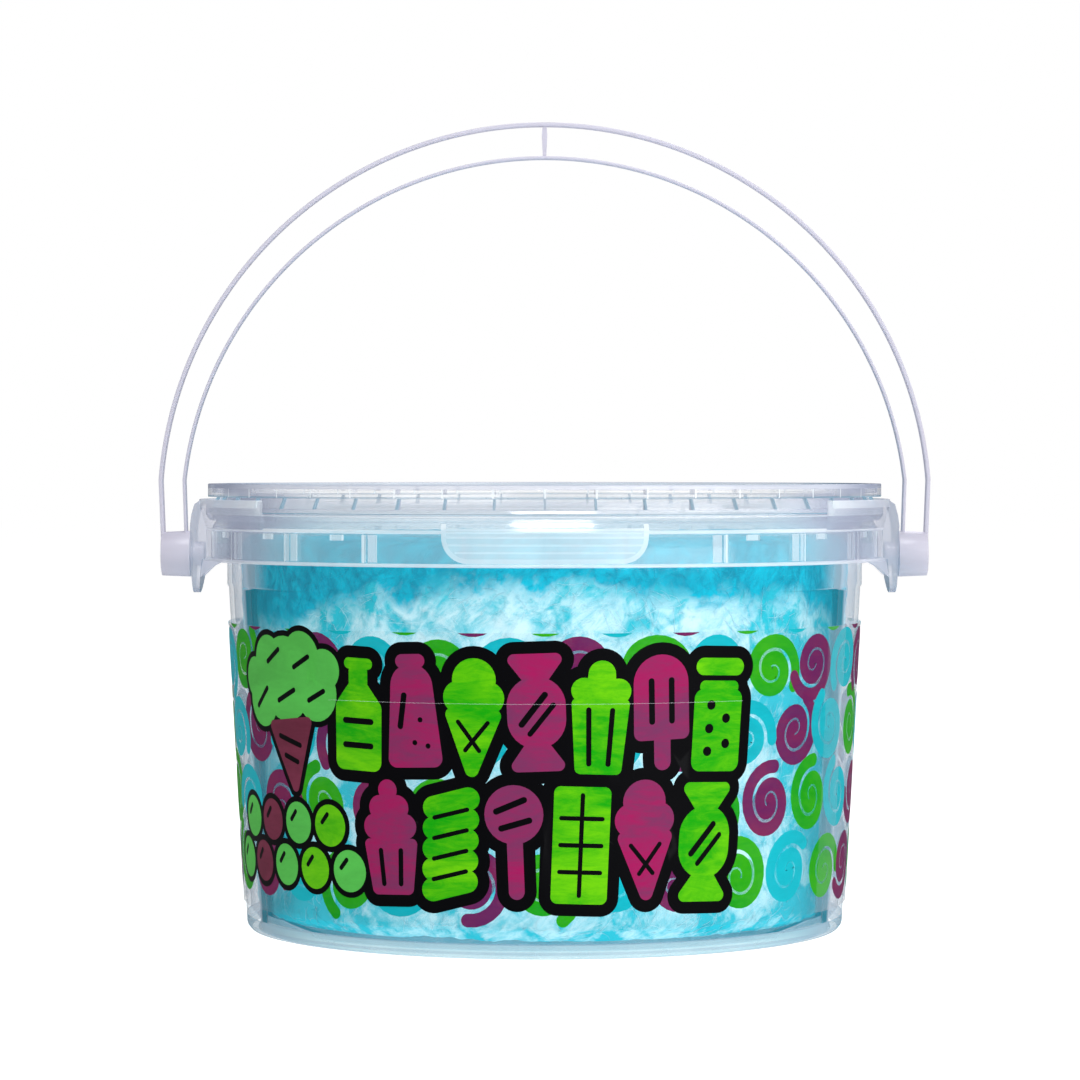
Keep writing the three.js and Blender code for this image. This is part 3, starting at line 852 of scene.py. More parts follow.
def ear(tub):
    """The ear on the +X side: tongue, gussets, the raised lip beside the lid and the bore for the pin."""
    pivot = SWING["pos_m"][2]
    face, collar, half = tub.ear_face, tub.collar_radius, tub.ear_width / 2
    low, turn = tub.collar_low, tub.collar_bend
    lip_in, lip_out, lip_high = collar + 0.05 * MM, collar + 1.7 * MM, LID_BOX[1].z - 3.35 * MM
    lip_low, shoulder, crest = tub.collar_high - 0.4 * MM, 90.3 * MM, 92.6 * MM
    section = prism(
        [
            *offsets(collar, low, (-0.7, 0.5), (0.5, 0.3)),
            (face - 1.4 * MM, tub.ear_low),
            (face, tub.ear_low),
            (face, turn + 0.4 * MM),
            (lip_out + 0.8 * MM, shoulder),
            (lip_out + 0.1 * MM, crest),
            (lip_in + 0.1 * MM, lip_high),
            (lip_in, lip_low),
            (collar - 0.7 * MM, turn + 0.8 * MM),
        ],
        -half,
        half,
    )
    reach = pivot - tub.ear_low
    spots = [(0, pivot, reach), (-half + 1 * MM, lip_high, 1 * MM), (half - 1 * MM, lip_high, 1 * MM)]
    lay = Matrix.Rotation(math.pi / 2, 4, "Z")
    tongue = move(hull(spots, 0, 12 * MM, 0, 48), Matrix.Translation((face + 1 * MM, 0, 0)) @ lay)
    made = combine(section, tongue, "INTERSECT")
    inner = tub.neck_radius - 0.2 * MM
    gusset = [
        (inner, low + 0.4 * MM),
        (collar - 1.3 * MM, low - 1.5 * MM),
        (face - 1.6 * MM, low - 4 * MM),
        (face - 1.2 * MM, low + 0.5 * MM),
        (collar - 0.5 * MM, low + 3.5 * MM),
        (inner, low + 3.5 * MM),
    ]
    rest = bmesh.new()
    for side in (-5.5 * MM, 5.5 * MM):
        add(rest, prism(gusset, side - 0.45 * MM, side + 0.45 * MM))
    lip = revolve(
        [
            *offsets(collar, turn, (-0.5, -0.2), (0.2, 0)),
            (lip_out, crest - 0.4 * MM),
            (lip_out - 0.2 * MM, lip_high),
            (lip_in, lip_high),
            (lip_in, lip_low + 0.1 * MM),
            (collar - 1 * MM, turn + 1.3 * MM),
        ],
        72,
        closed=True,
        angle=tub.lip_span,
    )
    round_edges(lip, 0.2 * MM, least=0.4)
    paint(made, EAR)
    paint(rest, EAR)
    paint(lip, COLLAR)
    # A painted highlight along the top of the lip.
    paint(lip, PAD_FROST_AND_HIGHLIGHT, lambda middle: middle.z > crest - 0.7 * MM)
    add(rest, lip, Matrix.Rotation(-tub.lip_span / 2, 4, "Z"))
    made = combine(made, rest)
    bore = move(hull([(0, pivot, 2.65 * MM)], -face - 2 * MM, -collar - 0.5 * MM), lay)
    return combine(made, paint(bore, EAR), "DIFFERENCE")


class CANDYTUB_OT_tub(bpy.types.Operator):
    """Model the clear tub as one moulding"""

    bl_idname = "candytub.tub"
    bl_label = "Tub"

    def execute(self, context):
        settings = context.scene.candy_tub
        tub = settings.tub
        extras = collar_ribs(tub)
        add(extras, grip_tab(tub))
        add_both(extras, ear(tub))
        bm = combine(tub_shell(tub), extras)
        finish = settings.finish
        materials = plastics("tub", finish, finish.plastic, finish.collar_haze, finish.collar_limb)
        let_light_through(piece("tub_moulding", bm, materials, "tub", ["tub"]))
        return {"FINISHED"}


# ---------- lid ----------
def lid_shell(lid):
    """The turned part of the lid: panel, plug, channel over the rim, flange and stacking ring."""
    top, outer, neck = LID_BOX[1].z, lid.ring_radius, lid.neck
    ring, plug = outer - lid.ring, lid.plug_radius - 1.2 * MM
    shelf, flange = top - 1.95 * MM, lid.flange_low + 1.05 * MM
    low, high = lid.panel_low, lid.panel_low + lid.panel
    shell = revolve(
        [
            (0, low + lid.panel_rise),
            (lid.panel_edge, low + lid.panel_rise),
            (lid.panel_edge + 1 * MM, low),
            (plug, low),
            (plug, LID_BOX[0].z),
            (lid.plug_radius, LID_BOX[0].z),
            (lid.plug_radius, shelf - 1 * MM),
            (neck - 1 * MM, shelf - 1 * MM),
            (neck - 1 * MM, lid.flange_low),
            *offsets(outer, lid.flange_low, (0.05, 0), (0.02, 0.25), (-0.02, 0.31), (-0.42, 0.89)),
            (outer - 0.54 * MM, flange),
            (neck, flange),
            (neck, lid.ring_low),
            *offsets(outer, lid.ring_low, (0, 0), (0, 0.35)),
            *offsets(outer, top, (0, -0.95), (0, 0)),
            *offsets(ring, top, (-0.5, 0), (-0.5, -0.8), (0, -0.95)),
            (ring, shelf),
            (plug, shelf),
            (plug - 0.5 * MM, high),
            (lid.panel_edge + 1 * MM, high),
            (lid.panel_edge, high + lid.panel_rise),
            (0, high + lid.panel_rise),
        ],
        256,
    )
    round_edges(shell, 0.15 * MM)
    paint(shell, COLLAR)
    paint(shell, BEAD, within(top - 0.9 * MM, 1))
    # Painted shade lines at the flange and at the foot of the stacking ring.
    paint(shell, SHADE_LINE, within(lid.flange_low + 0.02 * MM, lid.flange_low + 0.22 * MM))
    paint(shell, SHADE_LINE, within(lid.ring_low - 0.14 * MM, lid.ring_low + 0.35 * MM, outer - 0.2 * MM))
    return paint(shell, PANEL, within(0, high + lid.panel_rise + 0.1 * MM, far=plug - 0.6 * MM))


def lid_ribs(lid):
    """Ribs in the stacking ring, and below each a slanted one whose outer edge is darker: a painted shade
    line.
    """
    top, outer = LID_BOX[1].z, lid.ring_radius
    inner, proud = outer - lid.ring - 1.6 * MM, outer + 0.03 * MM
    upper = [
        (inner, top - 2.25 * MM),
        (proud, lid.ring_low + 0.1 * MM),
        (proud, top - 0.9 * MM),
        (inner, top - 0.95 * MM),
    ]
    foot, head = lid.flange_low + 0.75 * MM, lid.ring_low + 0.3 * MM
    near, middle, far = (
        [(lid.neck + low, foot), (lid.neck + high, head)]
        for low, high in ((-0.3 * MM, -0.3 * MM), (1.5 * MM, 0.1 * MM), (2.3 * MM, 0.9 * MM))
    )
    ribs = bmesh.new()
    for place in range(lid.ribs):
        turn = Matrix.Rotation(FRONT + TURN * place / lid.ribs, 4, "Z")
        rib = paint(prism(upper, -0.2 * MM, 0.2 * MM), COLLAR)
        # A painted highlight on each rib's outer edge.
        add(ribs, paint(rib, RIB_HIGHLIGHT, lambda middle: middle.x > outer), turn)
        add(ribs, paint(prism([*near, *reversed(middle)], -0.12 * MM, 0.12 * MM), COLLAR), turn)
        # A painted shade line on the slanted rib's outer part.
        add(ribs, paint(prism([*middle, *reversed(far)], -0.2 * MM, 0.2 * MM), SHADE_LINE), turn)
    return ribs


class CANDYTUB_OT_lid(bpy.types.Operator):
    """Model the snap lid: recessed panel, plug, flange and ribbed stacking ring"""

    bl_idname = "candytub.lid"
    bl_label = "Lid"

    def execute(self, context):
        settings = context.scene.candy_tub
        lid, finish = settings.lid, settings.finish
        materials = plastics("lid", finish, finish.lid, finish.lid_haze, finish.lid_limb)
        bm = combine(lid_shell(lid), lid_ribs(lid))
        let_light_through(piece("lid_moulding", bm, materials, "tub", ["lid"]))
        return {"FINISHED"}


# ---------- handle ----------
def strand(handle, name):
    """The outer or the inner strand: a rounded flat section spun over the arc, then drawn to each hub."""
    radius, centre, foot, thickness = (
        getattr(handle, f"{name}_{size}") for size in ("radius", "centre", "foot", "thickness")
    )
    pivot = SWING["pos_m"][2]
    start = math.asin((handle.knee - centre) / radius)
    section = hull(
        [
            (x, y, 0.2 * MM)
            for x in (-thickness / 2 + 0.2 * MM, thickness / 2 - 0.2 * MM)
            for y in (-handle.width / 2 + 0.2 * MM, handle.width / 2 - 0.2 * MM)
        ],
        0,
        1 * MM,
        0,
        12,
    )
    # The section lies in the XZ plane. It is laid in XY, moved out to the knee and turned along the arc.
    back = [f for f in section.faces if f.normal.y < -0.9]
    bmesh.ops.delete(section, geom=[f for f in section.faces if f not in back], context="FACES")
    lay = Matrix.Translation((radius, 0, 0)) @ Matrix.Rotation(math.pi / 2, 4, "X")
    lean = Matrix.Translation((0, 0, centre)) @ Matrix.Rotation(-start, 4, "Y")
    move(section, lean @ lay)
    first = section.faces[:]
    made = spin(section, first, (0, 0, centre), (0, -1, 0), math.pi - 2 * start, 120)
    for ends, side in ((first, 1), (only(bmesh.types.BMFace, made), -1)):
        drawn = only(bmesh.types.BMVert, bmesh.ops.extrude_face_region(section, geom=ends)["geom"])
        knee = side * radius * math.cos(start)
        bmesh.ops.translate(section, verts=drawn, vec=(side * foot - knee, 0, pivot - handle.knee))
        bmesh.ops.delete(section, geom=[f for f in ends if f.is_valid], context="FACES_ONLY")
    return face_out(section)


def hub(handle):
    """The hub on the +X side, hollow at its outer end, with the pin that runs in the ear."""
    radius, pin, end = handle.hub_radius, handle.pin_radius, handle.pin_end
    inner, outer = handle.hub_inner, handle.hub_outer
    bm = revolve(
        [
            (0, end),
            (pin - 0.3 * MM, end),
            (pin, end + 0.4 * MM),
            (pin, inner),
            (radius, inner),
            *offsets(radius, outer, (-0.25, 0), (-1.2, 0)),
            (radius - 1.3 * MM, outer - handle.hub_depth),
            (0, outer - handle.hub_depth),
        ],
        64,
    )
    round_edges(bm, 0.18 * MM)
    return move(bm, Matrix.Translation((0, 0, SWING["pos_m"][2])) @ Matrix.Rotation(math.pi / 2, 4, "Y"))


class CANDYTUB_OT_handle(bpy.types.Operator):
    """Model the swing handle: two strands, the bar between them and the two hubs"""

    bl_idname = "candytub.handle"
    bl_label = "Handle"

    def execute(self, context):
        settings = context.scene.candy_tub
        handle = settings.handle
        low = handle.inner_centre + handle.inner_radius - 0.2 * MM
        high = handle.outer_centre + handle.outer_radius + 0.2 * MM
        belly = low + 0.68 * (high - low)
        waist, bulge, half = 0.36 * MM, 0.6 * MM, 1.4 * MM
        side = [(waist, low), (bulge, belly), (waist, high)]
        rest = prism([(-waist, low), *side, (-waist, high), (-bulge, belly)], -half, half)
        add(rest, strand(handle, "inner"))
        add_both(rest, hub(handle))
        bm = combine(strand(handle, "outer"), rest)
        piece("handle_bail", bm, handle_plastic(settings.finish), "handle", ["handle"])
        return {"FINISHED"}


# ---------- candy ----------
class CandySkin:
    """The outside of the candy: a path from the middle of the floor, up the side, to the top's middle."""

    def __init__(self, settings):
        tub, candy = settings.tub, settings.candy
        low, high = CANDY_BOX[0].z, CANDY_BOX[1].z - 0.6 * MM
        self.candy = candy
        self.top = high

        def side(z):
            return wall_radius(tub, min(z, tub.step)) - tub.wall - candy.wall_gap

        self.limit = side
        shoulder = candy.shoulder
        self.path = [
            (0, low),
            (side(low) - 3 * MM, low),
            (side(6 * MM), low + 3 * MM),
            (side(tub.step), tub.step),
            (side(shoulder), shoulder),
            (side(shoulder) - 0.8 * MM, shoulder + 1.4 * MM),
            (side(shoulder) - 3 * MM, high - 0.9 * MM),
            (30 * MM, high - 0.6 * MM),
            (0, high),
        ]
        spans = [math.dist(a, b) for a, b in zip(self.path, self.path[1:])]
        self.marks = [sum(spans[:i]) for i in range(len(self.path))]

    def at(self, distance):
        """Radius, height and outward direction at a distance along the path."""
        distance = min(max(distance, 0), self.marks[-1] - 1e-9)
        index = max(i for i, mark in enumerate(self.marks) if mark <= distance)
        (r0, z0), (r1, z1) = self.path[index], self.path[index + 1]
        span = math.dist((r0, z0), (r1, z1))
        part = (distance - self.marks[index]) / span
        return r0 + (r1 - r0) * part, z0 + (z1 - z0) * part, ((z1 - z0) / span, (r0 - r1) / span)

    def point(self, distance, angle, lift=0.0):
        """A point on the lumpy outside, lifted off it by some amount."""
        radius, z, (out, up) = self.at(distance)
        flat = polar(radius, angle, z)
        broad, fine = (
            noise.fractal(flat * waves, gain, 2.0, 3, noise_basis="PERLIN_ORIGINAL")
            for waves, gain in ((60, 0.8), (420, 0.6))
        )
        height = self.candy.tuft * max(-1, min(1, broad)) + self.candy.fleece * fine + lift
        if z < CANDY_BOX[0].z + 1.5 * MM:  # nothing bulges down into the tub's floor
            height = min(height, 0)
        spot = polar(radius + out * height, angle, z + up * height)
        spot.z = min(spot.z, CANDY_BOX[1].z + 1 * MM)
        most = self.limit(spot.z) + self.candy.wall_gap - 0.25 * MM  # just inside the tub's wall
        reach = math.hypot(spot.x, spot.y)
        if reach > most:
            spot.x *= most / reach
            spot.y *= most / reach
        return spot


class CANDYTUB_OT_candy(bpy.types.Operator):
    """Model the candy's own mass, with its soft lumps and fleece"""

    bl_idname = "candytub.candy"
    bl_label = "Candy"

    def execute(self, context):
        settings = context.scene.candy_tub
        skin = CandySkin(settings)
        step = 1.15 * MM
        rows = int(skin.marks[-1] / step)
        profile = [(skin.at(i * step)[0], skin.at(i * step)[1]) for i in range(rows)]
        profile.append((0, skin.top))
        bm = revolve(profile, 360)
        rings = kdtree.KDTree(len(profile))
        for i, (radius, z) in enumerate(profile):
            rings.insert((radius, 0, z), i)
        rings.balance()
        for vert in bm.verts:
            _, i, _ = rings.find((math.hypot(vert.co.x, vert.co.y), 0, vert.co.z))
            vert.co = skin.point(i * step, math.atan2(vert.co.y, vert.co.x))
        material = fluff("candy_fluff", settings.finish, 0.0)
        piece("candy_mass", bm, material, "tub", ["candy"], smooth=3)
        return {"FINISHED"}


def thread_path(skin, draw, mean_length, sides):
    """The points of one loose thread: it wanders over the outside in a slow curve."""
    low, high = skin.marks[1], skin.marks[-1]
    over_all = low + (high - low) * math.sqrt(draw.random())
    distance = over_all if draw.random() < 0.25 else draw.uniform(low, skin.marks[5])
    angle = draw.uniform(0, TURN)
    flow = noise.noise(polar(0.07, angle, distance) * 22)
    heading = draw.gauss(0.7, 0.6) + 1.6 * flow
    bend = draw.gauss(0, 0.25)
    lift = draw.uniform(0.0, 0.35) * MM
    stride = mean_length * draw.uniform(0.5, 1.6) / sides
    points = []
    for place in range(sides + 1):
        arch = math.sin(math.pi * place / sides)
        points.append(skin.point(distance, angle, lift * arch - 0.1 * MM))
        radius = max(skin.at(distance)[0], 4 * MM)
        distance += stride * math.cos(heading)
        angle += stride * math.sin(heading) / radius
        heading += bend
    return points


class CANDYTUB_OT_threads(bpy.types.Operator):
    """Lay loose sugar threads over the candy, white ones over blue ones"""

    bl_idname = "candytub.threads"
    bl_label = "Threads"

    def execute(self, context):
        settings = context.scene.candy_tub
        candy = settings.candy
        skin = CandySkin(settings)
        for seed, (name, paleness) in enumerate((("blue_threads", 0.4), ("white_threads", 1.0))):
            draw = random.Random(7 + seed)
            curve = bpy.data.curves.new(name, "CURVE")
            curve.dimensions = "3D"
            curve.bevel_depth = candy.thread / 2
            curve.bevel_resolution = 0
            curve.use_fill_caps = True
            for _ in range(candy.threads):
                points = thread_path(skin, draw, candy.thread_length, 4)
                spline = curve.splines.new("POLY")
                spline.points.add(len(points) - 1)
                for target, point in zip(spline.points, points):
                    target.co = (*point, 1)
            carrier = placed(name + "_curve", curve)
            bm = as_bmesh(carrier)
            bpy.data.objects.remove(carrier)
            bpy.data.curves.remove(curve)
            material = fluff(name + "_sugar", settings.finish, paleness)
            piece(name, bm, material, "tub", smooth=3)
        return {"FINISHED"}


# ---------- label ----------
def print_radius(settings):
    """The radius at which a flat distance on the print equals an arc on the label."""
    label = settings.label
    return film_radius(settings, (label.low + label.high) / 2)


def wrap(bm, settings, layer):
    """Cuts a flat print into upright strips and bends it on to the film, so many inks above it."""
    reach = [vert.co.x for vert in bm.verts]
    step = 2.2 * MM
    for place in range(math.ceil(min(reach) / step), math.floor(max(reach) / step) + 1):
        cut = place * step, 0, 0
        bmesh.ops.bisect_plane(bm, geom=whole(bm), dist=1e-7, plane_co=cut, plane_no=(1, 0, 0))
    flat_radius = print_radius(settings)
    for vert in bm.verts:
        radius = film_radius(settings, vert.co.z) + layer * settings.label.ink
        vert.co = polar(radius, FRONT + vert.co.x / flat_radius, vert.co.z)
    return bm


def trim(bm, settings, margin=0.0):
    """Cuts off what a print has above or below the label."""
    label = settings.label
    for z, side in ((label.low + margin, -1), (label.high - margin, 1)):
        bmesh.ops.bisect_plane(
            bm, geom=whole(bm), dist=1e-7, plane_co=(0, 0, z), plane_no=(0, 0, side), clear_outer=True
        )
    return bm


def faces_forward(bm):
    """Keeps only the front of some joined prisms, as a flat print at y = 0."""
    bmesh.ops.delete(bm, geom=[f for f in bm.faces if f.normal.y > -0.9], context="FACES")
    for vert in bm.verts:
        vert.co.y = 0
    bmesh.ops.dissolve_limit(bm, angle_limit=0.01, verts=bm.verts, edges=bm.edges)
    return bm


def printed(name, bm, material, settings, layer):
    """Finishes one flat print as a piece on the label."""
    wrap(bm, settings, layer)
    bmesh.ops.triangulate(bm, faces=[f for f in bm.faces if len(f.verts) > 4])
    return let_light_through(piece(name, bm, material, "tub", smooth=3))


def flat_shapes(groups, grow=0.0):
    """The union of some hulls of discs, as one flat print."""
    first = hull(groups[0], 0, MM, grow)
    rest = bmesh.new()
    for discs in groups[1:]:
        add(rest, hull(discs, 0, MM, grow))
    return faces_forward(combine(first, rest) if rest.verts else first)


class CANDYTUB_OT_film(bpy.types.Operator):
    """Model the clear film of the label, with its overlapping seam"""

    bl_idname = "candytub.film"
    bl_label = "Label film"

    def execute(self, context):
        settings = context.scene.candy_tub
        label, colours = settings.label, settings.finish
        low, high = label.low, label.high
        near, far = film_radius(settings, low) - label.film, film_radius(settings, high) - label.film
        section = [(near, low), (near + label.film, low), (far + label.film, high), (far, high)]
        bm = revolve(section, 256, closed=True)
        clear = clear_plastic("label_film", 0.006, colours.bloom, colours.bloom, 0.0, colours.plastic)
        let_light_through(piece("label_film", bm, clear, "tub", ["label"]))
        lap = [(radius + label.film + 0.01 * MM, z) for radius, z in section]
        seam = revolve(lap, 8, closed=True, angle=label.seam / near)
        move(seam, Matrix.Rotation(FRONT + label.seam_place, 4, "Z"))
        shine = clear_plastic("label_seam", 0.015, colours.bloom, colours.bloom, 0.03, colours.plastic)
        let_light_through(piece("label_seam", seam, shine, "tub", smooth=0.6))
        return {"FINISHED"}


def swirl(label):
    """One flat swirl: half turns that widen from one to the next, with round ends."""
    bm = bmesh.new()
    stroke, growth = label.swirl_stroke, label.swirl_growth
    start, centre = 0.15 * MM, 0
    ends = [bm.verts.new((start, 0, 0)), bm.verts.new((start + stroke, 0, 0))]
    row = [*ends, bm.edges.new(ends)]
    for half_turn in range(label.swirl_turns):
        arc = math.pi if half_turn < label.swirl_turns - 1 else label.swirl_tail
        row = spin(bm, row, (centre, 0, 0), (0, 1, 0), arc, math.ceil(4 * arc))
        centre += growth * (1 if half_turn % 2 == 0 else -1)
        growth *= label.swirl_widening
    for pair, way in ((ends, -1), (only(bmesh.types.BMVert, row), 1)):
        inner, outer = sorted((vert.co.copy() for vert in pair), key=lambda co: co.length)
        middle = (inner + outer) / 2
        spoke = [bm.verts.new(middle), bm.verts.new(outer)]
        spin(bm, [*spoke, bm.edges.new(spoke)], middle, (0, 1, 0), way * math.pi, 8)
    bmesh.ops.remove_doubles(bm, verts=bm.verts, dist=1e-6)
    face_out(bm)
    if bm.faces[0].normal.y > 0:
        bmesh.ops.reverse_faces(bm, faces=bm.faces)
    return bm


def swirl_places(settings, names):
    """The colour of each swirl and where it stands on the print, row by row. Row -1 is cut by the edge."""
    label = settings.label
    draw = random.Random(21)
    aside, upright, sink = 0.7 * MM, 0.4 * MM, 1.63 * MM  # how far places stray, and row -1 lies lower
    pitch = TURN * print_radius(settings) / label.swirl_columns
    top = label.high - 7.4 * MM
    previous = None
    for row in range(-1, label.swirl_rows):
        for column in range(label.swirl_columns):
            name = draw.choice([n for n in names if n != previous])
            previous = name
            u = (column - label.swirl_columns / 2 + 0.5 * (row % 2)) * pitch
            u += draw.uniform(-aside, aside)
            rise = draw.uniform(-upright, upright)
            z = top - row * label.swirl_pitch + (rise if row >= 0 else 0.4 * rise - sink)
            side, spread = {-1: (90, 45), 0: (-90, 115)}.get(row, (0, 180))
            lean = math.radians(side + draw.uniform(-spread, spread))
            flip = draw.random() < 0.5
            tail = math.radians(120 if flip else 60)
            place = Matrix.Translation((u, 0, z)) @ Matrix.Rotation(tail - lean, 4, "Y")
            if flip:
                place = place @ Matrix.Scale(-1, 4, (1, 0, 0))
            yield name, place


class CANDYTUB_OT_swirls(bpy.types.Operator):
    """Print the rows of lollipop swirls in three colours"""

    bl_idname = "candytub.swirls"
    bl_label = "Swirls"

    def execute(self, context):
        settings = context.scene.candy_tub
        label, colours = settings.label, settings.finish
        tones = {
            "green": (colours.leaf, colours.green),
            "magenta": (colours.violet, colours.magenta),
            "cyan": (colours.cyan, colours.aqua),
        }
        prints, cores = ({name: bmesh.new() for name in tones} for _ in range(2))
        for name, place in swirl_places(settings, tuple(tones)):
            add(prints[name], swirl(label), place)
            core = bmesh.new()
            upright = Matrix.Rotation(math.pi / 2, 4, "X")
            bmesh.ops.create_circle(
                core, cap_ends=True, segments=20, radius=label.swirl_core, matrix=upright
            )
            add(cores[name], core, place)
        for order, name in enumerate(tones):
            for kind, bm, alpha, layer in (
                ("swirl", prints[name], 0.985, 1 + 0.25 * order),
                ("core", cores[name], 0.6, 0.6),
            ):
                material = ink(f"{name}_{kind}_ink", *tones[name], 0.15, alpha)
                printed(f"{kind}s_{name}", trim(bm, settings, 0.1 * MM), material, settings, layer)
        return {"FINISHED"}


def shifted(discs, x, z, tilt=0.0, size=1.0):
    """Some discs in millimetres, turned, scaled and moved as one, in metres."""
    cos, sin = math.cos(tilt), math.sin(tilt)
    return [
        (x + size * (a * cos - b * sin) * MM, z + size * (a * sin + b * cos) * MM, size * r * MM)
        for a, b, r in discs
    ]


def both(*discs):
    """Discs (x, z, radius) on the right, each after its twin on the left."""
    return [(side * x, z, radius) for x, z, radius in discs for side in (-1, 1)]


def sides(*discs):
    """A group of discs on the left and its twin on the right."""
    return [[(side * x, z, radius) for x, z, radius in discs] for side in (-1, 1)]


# Each sweet is drawn round its own middle, in millimetres, as hulls of discs (x, z, radius): first its
# coloured parts, then the black marks on them.
SWEETS = {
    "wrapped": (
        [
            [(0, -1.6, 6.6), (0, 1.6, 6.6)],
            [(0, 7.4, 2.4), *both((4.6, 12.0, 1.4))],
            [(0, -7.4, 2.4), *both((4.6, -12.0, 1.4))],
        ],
        [[(-3.4, -2.6, 0.7), (2.0, 4.0, 0.7)], [(-1.6, -4.8, 0.6), (3.8, 1.6, 0.6)]],
    ),
    "cone": (
        [[(0, -12.0, 1.6), *both((4.8, 0.4, 1.6))], both((3.2, 4.4, 3.8)), [(0, 8.4, 5.0)]],
        sides((3.4, -1.2, 0.5), (-1.6, -7.6, 0.5)),
    ),
    "ice_lolly": (
        [[(0, 6.4, 6.6), *both((5.0, -4.8, 1.7))], [(0, -6.0, 2.0), (0, -11.4, 2.0)]],
        sides((2.4, -2.2, 0.7), (2.4, 7.0, 0.7)),
    ),
    "popcorn": (
        [
            both((4.0, -11.6, 1.4), (5.4, 3.0, 1.2)),
            *sides((3.9, 6.0, 2.9)),
            [(0, 6.6, 3.4), (0, 9.8, 3.1)],
        ],
        sides((2.2, -10.6, 0.6), (2.7, 1.6, 0.6)),
    ),
    "lollipop": (
        [[(0, 5.8, 6.6)], [(0, 0, 1.8), (0, -11.4, 1.8)]],
        [[(-2.9, 2.8, 0.7), (3.4, 4.4, 0.7)], [(-3.9, 6.6, 0.7), (2.4, 9.0, 0.7)]],
    ),
    "jar": (
        [
            [(x, z, 2.2) for x in (-4.2, 4.2) for z in (-10.8, 3.6)],
            both((3.8, 6.4, 1.4)),
            both((4.4, 11.0, 2.0)),
        ],
        [[(x, z, 1.1)] for x, z in ((-2.4, -8.4), (2.4, -6.6), (-2.2, -3.2), (2.2, -0.8), (-2, 2.2))],
    ),
    "bar": (
        [[(x, z, 1.5) for x in (-4.9, 4.9) for z in (-11.6, 11.6)]],
        [[(0, -11.2, 0.5), (0, 11.2, 0.5)], *(both((4.6, z, 0.5)) for z in (-6, 0, 6))],
    ),
    "cupcake": (
        [
            both((3.9, -11.4, 1.5), (5.5, -1.6, 1.3)),
            both((3.9, 2.4, 2.9)),
            both((2.2, 6.6, 2.9)),
            [(0, 10.6, 2.4)],
        ],
        sides((2.2, -10.4, 0.6), (2.6, -3.0, 0.6)),
    ),
    "bottle": (
        [
            [*both((4.2, -10.8, 2.2), (4.2, 1.4, 2.2)), (0, 6.0, 2.6)],
            [(0, 5.0, 2.6), (0, 9.6, 2.6)],
            both((2.6, 11.6, 1.3)),
        ],
        [both((3.6, z, 0.7)) for z in (-7.2, -1.6)],
    ),
    "twist": (
        [[(-4.0, z - 1.2, 2.6), (4.0, z + 1.2, 2.6)] for z in (-9.2, -4.6, 0, 4.6, 9.2)],
        [[(-3.8, z - 3.4, 0.5), (3.8, z - 1.2, 0.5)] for z in (-4.6, 0, 4.6, 9.2)],
    ),
    "gumdrop": (
        [[*both((4.6, -10.8, 2.1)), (0, 5.6, 5.2)], both((2.0, 11.4, 1.6))],
        [
            [(-1.9, 3.6, 0.7), (-3.2, -3.4, 0.7)],
            *([(x, z, 0.6)] for x, z in ((1.8, -2.0), (0.2, -7.2), (3.4, -8.0))),
        ],
    ),
}
TOP_ROW = ("bottle", "gumdrop", "cone", "wrapped", "popcorn", "ice_lolly", "jar")
BOTTOM_ROW = ("cupcake", "twist", "lollipop", "bar", "cone", "wrapped")
ROWS = (
    # the sweets, the first one's middle, the row's middle, the pitch, the size, the colours by turns
    (TOP_ROW, -40.4 * MM, 50.3 * MM, 12.9 * MM, 0.9, ("green", "magenta")),
    (BOTTOM_ROW, -33.4 * MM, 24.1 * MM, 13.6 * MM, 0.92, ("magenta", "green")),
)


def sweet_places():
    """Where each sweet stands on the print: its name, colour, middle, tilt and size."""
    places = []
    for names, first, middle, pitch, size, tones in ROWS:
        for column, name in enumerate(names):
            tone = tones[column % 2]
            side = 1 if tone == "magenta" else -1
            x, z, tilt = first + column * pitch, middle + side * 0.5 * MM, side * math.radians(2)
            places.append((name, tone, x, z, tilt, size))
    return places


class CANDYTUB_OT_sweets(bpy.types.Operator):
    """Print two rows of sweets in magenta and green on their black plate"""

    bl_idname = "candytub.sweets"
    bl_label = "Sweets"

    def execute(self, context):
        settings = context.scene.candy_tub
        label, colours = settings.label, settings.finish
        tones = {"magenta": (colours.plum, colours.rose), "green": (colours.forest, colours.lime)}
        fills, plate, marks = {tone: [] for tone in tones}, [], []
        for name, tone, *place in sweet_places():
            parts, lines = ([shifted(discs, *place) for discs in group] for group in SWEETS[name])
            fills[tone] += parts
            plate += parts
            marks += lines
        black = ink("black_ink", colours.black)
        printed("sweet_plate", flat_shapes(plate, label.outline), black, settings, 2)
        for tone, casts in tones.items():
            material = ink(f"{tone}_sweet_ink", *casts, 0.16)
            printed(f"sweets_{tone}", flat_shapes(fills[tone]), material, settings, 3)
        printed("sweet_marks", flat_shapes(marks), black, settings, 4)
        # The fold is a painted highlight: a pale strip along the crease.
        fold = [[(x, label.fold, 0.07 * MM) for x in (-48 * MM, 43 * MM)]]
        sheen = ink("fold_sheen", colours.frost_and_highlight, alpha=0.18)
        printed("label_fold_highlight", flat_shapes(fold), sheen, settings, 5)
        return {"FINISHED"}


